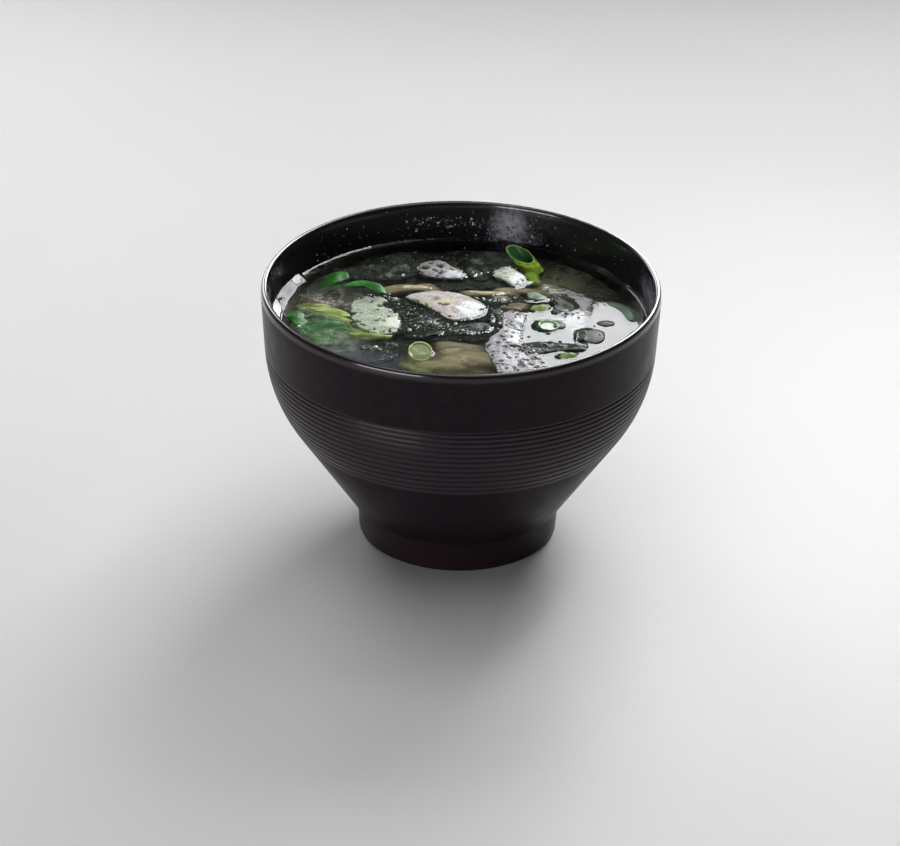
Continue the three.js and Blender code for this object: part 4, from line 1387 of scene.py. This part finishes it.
crumb_places = [place for spec in CRUMB_TRAILS for place in trail(dice, *spec)]
crumb_places += [(x, y, 0.05, size, x) for x, y, size in LONE_CRUMBS]
crumbs = scattered("wakame_crumbs", crumb_model(), [afloat(*place) for place in crumb_places])
dress(crumbs, crumb_finish(), "wakame")
print("crumbs:", len(crumb_places), "with", len(crumbs.data.polygons), "faces")

# %% [markdown]
# ## Broth
#
# The broth is one closed body with a wet skin. The finish mixes three things: what lies
# below, a thin haze of miso, and the mirror of the surface, which a Fresnel node makes
# stronger towards the far side, as on real water. Misty places have a place, a radius, a
# soft edge, the most haze and a tint.

# %% Broth finish
MIST = [
    (-34, -18, 8, 5, 0.42, (0.30, 0.34, 0.31)), (-41, -8, 7, 4, 0.28, (0.26, 0.46, 0.22)),
    (-24, -26, 8, 5, 0.30, (0.19, 0.20, 0.24)), (-38, 6, 6, 4, 0.16, (0.36, 0.38, 0.22)),
    (-42, 10.6, 4, 3, 0.30, (0.34, 0.26, 0.14)), (-27, -6, 5, 3, 0.22, (0.36, 0.42, 0.22)),
    (-36, 15, 8, 4, 0.16, (0.20, 0.19, 0.15)), (-7, -27, 9, 4, 0.18, (0.36, 0.35, 0.20)),
    (4, -23, 8, 4, 0.14, (0.34, 0.30, 0.19)),
]
HAZE, VEIL = 0.03, 0.12
WATER_IOR = 1.333


def broth_finish():
    """Clear water, a veil of miso that thickens in misty places, and the surface's mirror."""
    finish = Finish("wet_broth")
    cloud = finish.noise(9, 5, rough=0.65)
    wisp = finish.noise(3, 5, rough=0.7)
    haze = finish.step(cloud, 0.35, 0.7) * VEIL + HAZE
    tone = finish.blend(finish.step(wisp, 0.4, 0.6), (0.045, 0.052, 0.038), (0.10, 0.105, 0.085))
    streak = finish.step(abs(finish.noise(7, 6, rough=0.65) - 0.5), 0.045, 0.0)
    left = finish.spot(-36, 2, 16, 10, (cloud - 0.5) * 16)
    streak = streak * finish.step(wisp, 0.36, 0.56) * left
    for x, y, radius, soft, most, hue in MIST:
        share = finish.spot(x, y, radius, soft, (cloud - 0.5) * 16 + (wisp - 0.5) * 6)
        tone = finish.blend(share, tone, hue)
        haze = haze + share * finish.step(wisp, 0.25, 0.7) * most
    tone = finish.blend(streak, tone, (0.36, 0.38, 0.32))
    haze = haze + streak * 0.45
    # painted shade: the veil thins towards the back wall, so that the far broth shows darker
    haze = haze * (finish.step(finish.along(1) + (cloud - 0.5) * 8, 47, 41) * 0.85 + 0.15)
    clear = finish.node("ShaderNodeBsdfTransparent", {}, {})
    veil = finish.node("ShaderNodeBsdfPrincipled", {}, {
        "Base Color": tone, "Roughness": 0.6, "Specular IOR Level": 0.0})
    below = finish.node("ShaderNodeMixShader", {}, [haze, clear, veil])
    ripple = finish.bump(finish.noise(3.5, 2), 0.02, 0.5)
    mirror = finish.node("ShaderNodeBsdfGlossy", {}, {"Roughness": 0.03, "Normal": ripple})
    share = finish.node("ShaderNodeFresnel", {}, {"IOR": WATER_IOR, "Normal": ripple})
    return finish.end(finish.node("ShaderNodeMixShader", {}, [share, below, mirror]))


broth_skin = broth_finish()
print("finish:", broth_skin.name)

# %% [markdown]
# The body is turned like the bowl, just inside it, with its finest rings where the water
# creeps up the wall. A search tree then tells how near each point is to what floats there.

# %% Body of the broth
WALL_GAP = 0.06
BROTH_STEPS, BROTH_RINGS = 440, 100
FINE_PITCH, FINE_RINGS = 0.2, 11
broth_edge = inner_radius(LEVEL) - WALL_GAP
fine_r = broth_edge - FINE_PITCH * FINE_RINGS
broth_profile = [(0, BOWL_FLOOR + WALL_GAP), *inner_profile(WALL_GAP, LEVEL)]
broth_profile += [(broth_edge - FINE_PITCH * i, LEVEL) for i in range(1, FINE_RINGS + 1)]
broth_profile += [(fine_r * i / BROTH_RINGS, LEVEL) for i in range(BROTH_RINGS - 1, -1, -1)]
broth = turned("broth_with_skin", broth_profile, BROTH_STEPS)


def waterlines():
    """A search tree over all that stands out of the broth, to find how near a point is."""
    corners, faces = [], []
    for piece in leaves + slices + tofu_pieces + wakame_pieces + foam_rafts:
        start = len(corners)
        corners += [vertex.co.copy() for vertex in piece.data.vertices]
        faces += [[start + i for i in face.vertices] for face in piece.data.polygons
                  if face.center.z > (LEVEL + 0.05) * MM]
    return BVHTree.FromPolygons(corners, faces)


floats = waterlines()
print("broth:", len(broth.data.polygons), "faces")

# %% [markdown]
# Water creeps up the wall and up everything that floats in it, and these little slopes break
# up the mirror image of the softbox. Along the left and back wall the slope is steeper and
# mirrors a narrow light as a bright line, with a few dashes further on. At the left it is
# wider as well, which makes a bright patch. Bearings are in degrees, from the right round
# the back to the left.

# %% Waterline
WALL_RISE, WALL_REACH = 0.65, 1.1
CLING_RISE, CLING_REACH, CLING_SEARCH = 0.14, 0.5, 4
STEEPNESS, SLOPE_WIDTH, PATCH_WIDTH = 0.6, 0.5, 1.5
STEEP_STRETCH = (80, 25, 240, 20)
PATCH_STRETCH = (149.6, 1.6, 215, 25)
DASHES = [(100, 3), (80, 5), (38, 3), (25, 2)]


def stretch(bearing, start, rise, end, fall):
    """1 between two bearings and 0 beyond them, over a rise and a fall in degrees."""
    return np.clip((bearing - start) / rise, 0, 1) * np.clip((end - bearing) / fall, 0, 1)


def creep(x, y, z):
    """Lift the skin at the wall, most at the left, and round each floating piece."""
    lift = np.zeros(len(x))
    reach = np.hypot(x, y)
    bearing = np.degrees(np.arctan2(y, x)) % 360
    patch = stretch(bearing, *PATCH_STRETCH)
    steep = stretch(bearing, *STEEP_STRETCH)
    for middle, spread in DASHES:
        steep = np.maximum(steep, np.exp(-((bearing - middle) / spread) ** 2))
    for i in np.nonzero(z > LEVEL - 0.01)[0]:
        ragged = 1 + 0.2 * noise.noise(Vector((x[i], y[i], 0)) * 0.2)
        inward = broth_edge - reach[i] - SLOPE_WIDTH - PATCH_WIDTH * ragged * patch[i]
        lift[i] = WALL_RISE * math.exp(-max(0, inward) / WALL_REACH)
        lift[i] += STEEPNESS * steep[i] * max(0, -inward)
        hit = floats.find_nearest(Vector((x[i], y[i], z[i])) * MM, CLING_SEARCH * MM)
        if hit[0] is not None:
            lift[i] += CLING_RISE * math.exp(-hit[3] / MM / CLING_REACH)
    return x, y, z + lift


shaped(broth, creep)
dress(broth, broth_skin, "broth", "broth")
print("waterline up to", round(points_of(broth)[:, 2].max() - LEVEL, 2), "mm above the level")

# %% [markdown]
# ## Large bubbles
#
# A few large bubbles lie on the bright water. Their film is a low dome that turns the mirror
# image of the softbox away. It is painted grey on top and dark at its foot, a painted
# reflection, so that each shows as a grey lens with a dark foot. A dome is a quarter circle,
# spun as the bowl is and flattened.

# %% Bubble film


def film_finish():
    """A dull film, thinner on top, painted grey on top and dark at the foot: a painted reflection.
    """
    finish = Finish("bubble_film")
    above = finish.above()
    cloud = finish.noise(1.6, 3)
    tone = finish.blend(finish.step(above + (cloud - 0.5) * 0.5, 0.1, 0.7),
                        (0.020, 0.022, 0.019), (0.24, 0.245, 0.22))
    thin = finish.step(above, 0.1, 0.8) * 0.35
    return finish.skin(Base_Color=tone, Roughness=0.3, IOR=1.15, Alpha=1 - thin)


bubble_film = film_finish()
print("finish:", bubble_film.name)

# %% Large bubbles
LARGE_BUBBLES = {
    "bubble_right": ((41.8, 0.2), (2.6, 1.9), 0.4),
    "bubble_slice_right": ((28.4, -1.6), (2, 2.4), 0.5),
    "bubble_wakame_right": ((38.4, -8.4), (3.1, 4.4), 0.9),
}
DOME_RINGS, DOME_STEPS = 10, 48
DOME_FOOT, DOME_FOOT_ANGLE = -0.3, math.radians(15)


def large_bubble(name, middle, radii, height):
    """A low dome with a rounded foot that reaches just under the level."""
    angles = [(TAU / 4 + DOME_FOOT_ANGLE) * i / DOME_RINGS - DOME_FOOT_ANGLE
              for i in range(DOME_RINGS)]
    profile = [(0, DOME_FOOT)] + [(math.cos(a), math.sin(a)) for a in angles] + [(0, 1)]
    piece = turned(name, profile, DOME_STEPS)

    def stood(x, y, z):
        return middle[0] + x * radii[0], middle[1] + y * radii[1], LEVEL + z * height

    shaped(piece, stood)
    bpy.ops.object.shade_smooth()
    return dress(piece, bubble_film, "broth")


large_bubbles = [large_bubble(name, *spec) for name, spec in LARGE_BUBBLES.items()]
print("large bubbles:", len(large_bubbles))

# %% [markdown]
# ## Drops on the wall
#
# Steam and stirring leave small drops on the lacquer above the broth, thickest at the back.
# Each is a flattened dome. They reuse the dome of the small bubbles, laid on the wall by
# turning each copy so that its foot faces the lacquer. Each cluster has a bearing, a spread,
# a count, and the lowest and highest drop above the level.

# %% Drops on the wall
DROP_CLUSTERS = [
    (94, 9, 150, 4, 7.4), (76, 6, 140, 0.5, 6.5), (90, 26, 60, 0.5, 11), (60, 12, 18, 1.5, 8),
    (128, 14, 20, 1, 9), (35, 12, 8, 1.5, 8), (160, 20, 10, 1.5, 8), (0, 180, 36, 1.5, 9),
]
DROP_SMALLEST, DROP_GROWTH = 0.1, 0.28
DROP_BED = 0.02


def wall_stands():
    """How each drop stands on the inner wall, with its foot turned to the lacquer."""
    dice = random.Random("drops")
    stands = []
    for bearing, spread, count, low, high in DROP_CLUSTERS:
        for _ in range(count):
            angle = math.radians(dice.gauss(bearing, spread))
            z = LEVEL + dice.uniform(low, high)
            size = DROP_SMALLEST + DROP_GROWTH * dice.random() ** 4
            out = Vector((math.cos(angle), math.sin(angle), 0))
            foot = out * (inner_radius(z) - DROP_BED) + Vector((0, 0, z))
            stands.append((foot, (-out).to_track_quat("Z", "Y").to_matrix(), size))
    return stands


def drop_finish():
    """Water with a trace of miso, glossy, painted pale in patches as a painted sparkle."""
    finish = Finish("wall_drops")
    tone = finish.blend(finish.step(finish.noise(1.5, 2), 0.45, 0.6), (0.05, 0.05, 0.06),
                        (0.55, 0.55, 0.60))
    return finish.skin(Base_Color=tone, Roughness=0.12, IOR=1.4)


drops = dress(scattered("wall_drops", bubble_model(), wall_stands()), drop_finish(), "broth")
print("wall drops:", len(drops.data.polygons), "faces")

# %% [markdown]
# ## Table and camera
#
# The bowl stands on a plain pale floor. The camera looks down on it through a long lens. It
# is placed by a point and by its own right and upward directions.

# %% Floor
floor = started("table", bpy.ops.mesh.primitive_plane_add, size=8)
floor_finish = Finish("pale_table")
table_tone = floor_finish.blend(floor_finish.noise(180, 2), (0.56, 0.55, 0.545),
                                (0.62, 0.61, 0.6))
floor.data.materials.append(floor_finish.skin(Base_Color=table_tone, Roughness=0.6))
print("floor ready")

# %% Camera
CAMERA_AT = Vector((0, -1.0311, 0.5835))
CAMERA_RIGHT = Vector((0.99985813, 0.00984245, 0.01366945))
CAMERA_UP = Vector((-0.01669345, 0.47067651, 0.88214792))
CAMERA_LENS, SENSOR_WIDTH = 160, 36
NEAREST_SEEN = 0.01
camera = started("long_lens", bpy.ops.object.camera_add, location=CAMERA_AT)
axes = Matrix((CAMERA_RIGHT, CAMERA_UP, CAMERA_RIGHT.cross(CAMERA_UP))).transposed()
camera.matrix_world = Matrix.LocRotScale(CAMERA_AT, axes, None)
camera.data.lens = CAMERA_LENS
camera.data.sensor_width = SENSOR_WIDTH
camera.data.clip_start = NEAREST_SEEN
bpy.context.scene.camera = camera
print("camera:", CAMERA_LENS, "mm")

# %% [markdown]
# ## Light
#
# Wet things look like what they mirror, so each panel behind the bowl has a mirror image to
# make. A tall softbox at the right lies as a white field on the broth, with a small step
# under it and a turned grey strip at its corner. A narrow strip high up draws the bright
# waterline. Weaker panels under the softbox and at the left draw the lip. A low one in front
# shows the turned lines, and a large one overhead is the soft light of the room.

# %% Panels of light


def panel(name, place, aim, size, radiance, tint=(1, 1, 1), roll=0, spread=180):
    """A flat light of (width, height) in metres that faces a point, with this brightness."""
    light = started(name, bpy.ops.object.light_add, type="AREA", location=place)
    towards = (Vector(aim) - Vector(place)).normalized()
    facing = towards.to_track_quat("-Z", "Y") @ Quaternion((0, 0, 1), math.radians(roll))
    light.rotation_euler = facing.to_euler()
    light.data.shape = "RECTANGLE"
    light.data.size, light.data.size_y = size
    light.data.energy = radiance * size[0] * size[1] * math.pi
    light.data.color = tint
    light.data.spread = math.radians(spread)


SOFTBOX_LEFT, SOFTBOX_LOW = 0.025, 0.3125
SOFTBOX_WIDTH, SOFTBOX_HEIGHT = 0.4, 0.3
PANEL_Y = 0.5
softbox_x, softbox_z = SOFTBOX_LEFT + SOFTBOX_WIDTH / 2, SOFTBOX_LOW + SOFTBOX_HEIGHT / 2
panel("softbox", (softbox_x, PANEL_Y, softbox_z), (softbox_x, 0, softbox_z),
      (SOFTBOX_WIDTH, SOFTBOX_HEIGHT), 11, (0.97, 0.985, 1))
panel("softbox_step", (0.068, PANEL_Y, 0.3107), (0.068, 0, 0.3107), (0.024, 0.0036), 11)
panel("side_panel", (0.2, PANEL_Y, 0.24), (0.1, 0, 0.15), (0.2, 0.12), 3, spread=60)
panel("left_panel", (-0.27, PANEL_Y, 0.3), (-0.27, 0, 0.3), (0.3, 0.34), 5, (0.93, 0.96, 1))
panel("grey_strip", (0.0434, PANEL_Y + 0.002, 0.3103), (0.0434, 0, 0.3103), (0.0217, 0.014), 4.8,
      roll=-16)
panel("waterline_strip", (0.341, 0.375, 0.666), (0, 0, 0.067), (0.06, 0.44), 14, roll=22)
panel("front_panel", (-0.95, -1.2, 0.26), (0, 0, 0.05), (1, 0.5), 7)
panel("overhead", (0, 0, 1.6), (0, 0, 0), (1.6, 1.6), 1.6)

# %% Faint light of the room
ROOM_TONE, ROOM_STRENGTH = (0.8, 0.85, 1, 1), 0.06
world = bpy.data.worlds.new("studio")
world.use_nodes = True
background = world.node_tree.nodes["Background"]
background.inputs["Color"].default_value = ROOM_TONE
background.inputs["Strength"].default_value = ROOM_STRENGTH
bpy.context.scene.world = world
bpy.context.scene.view_settings.view_transform = "Standard"
print("room light:", ROOM_STRENGTH)
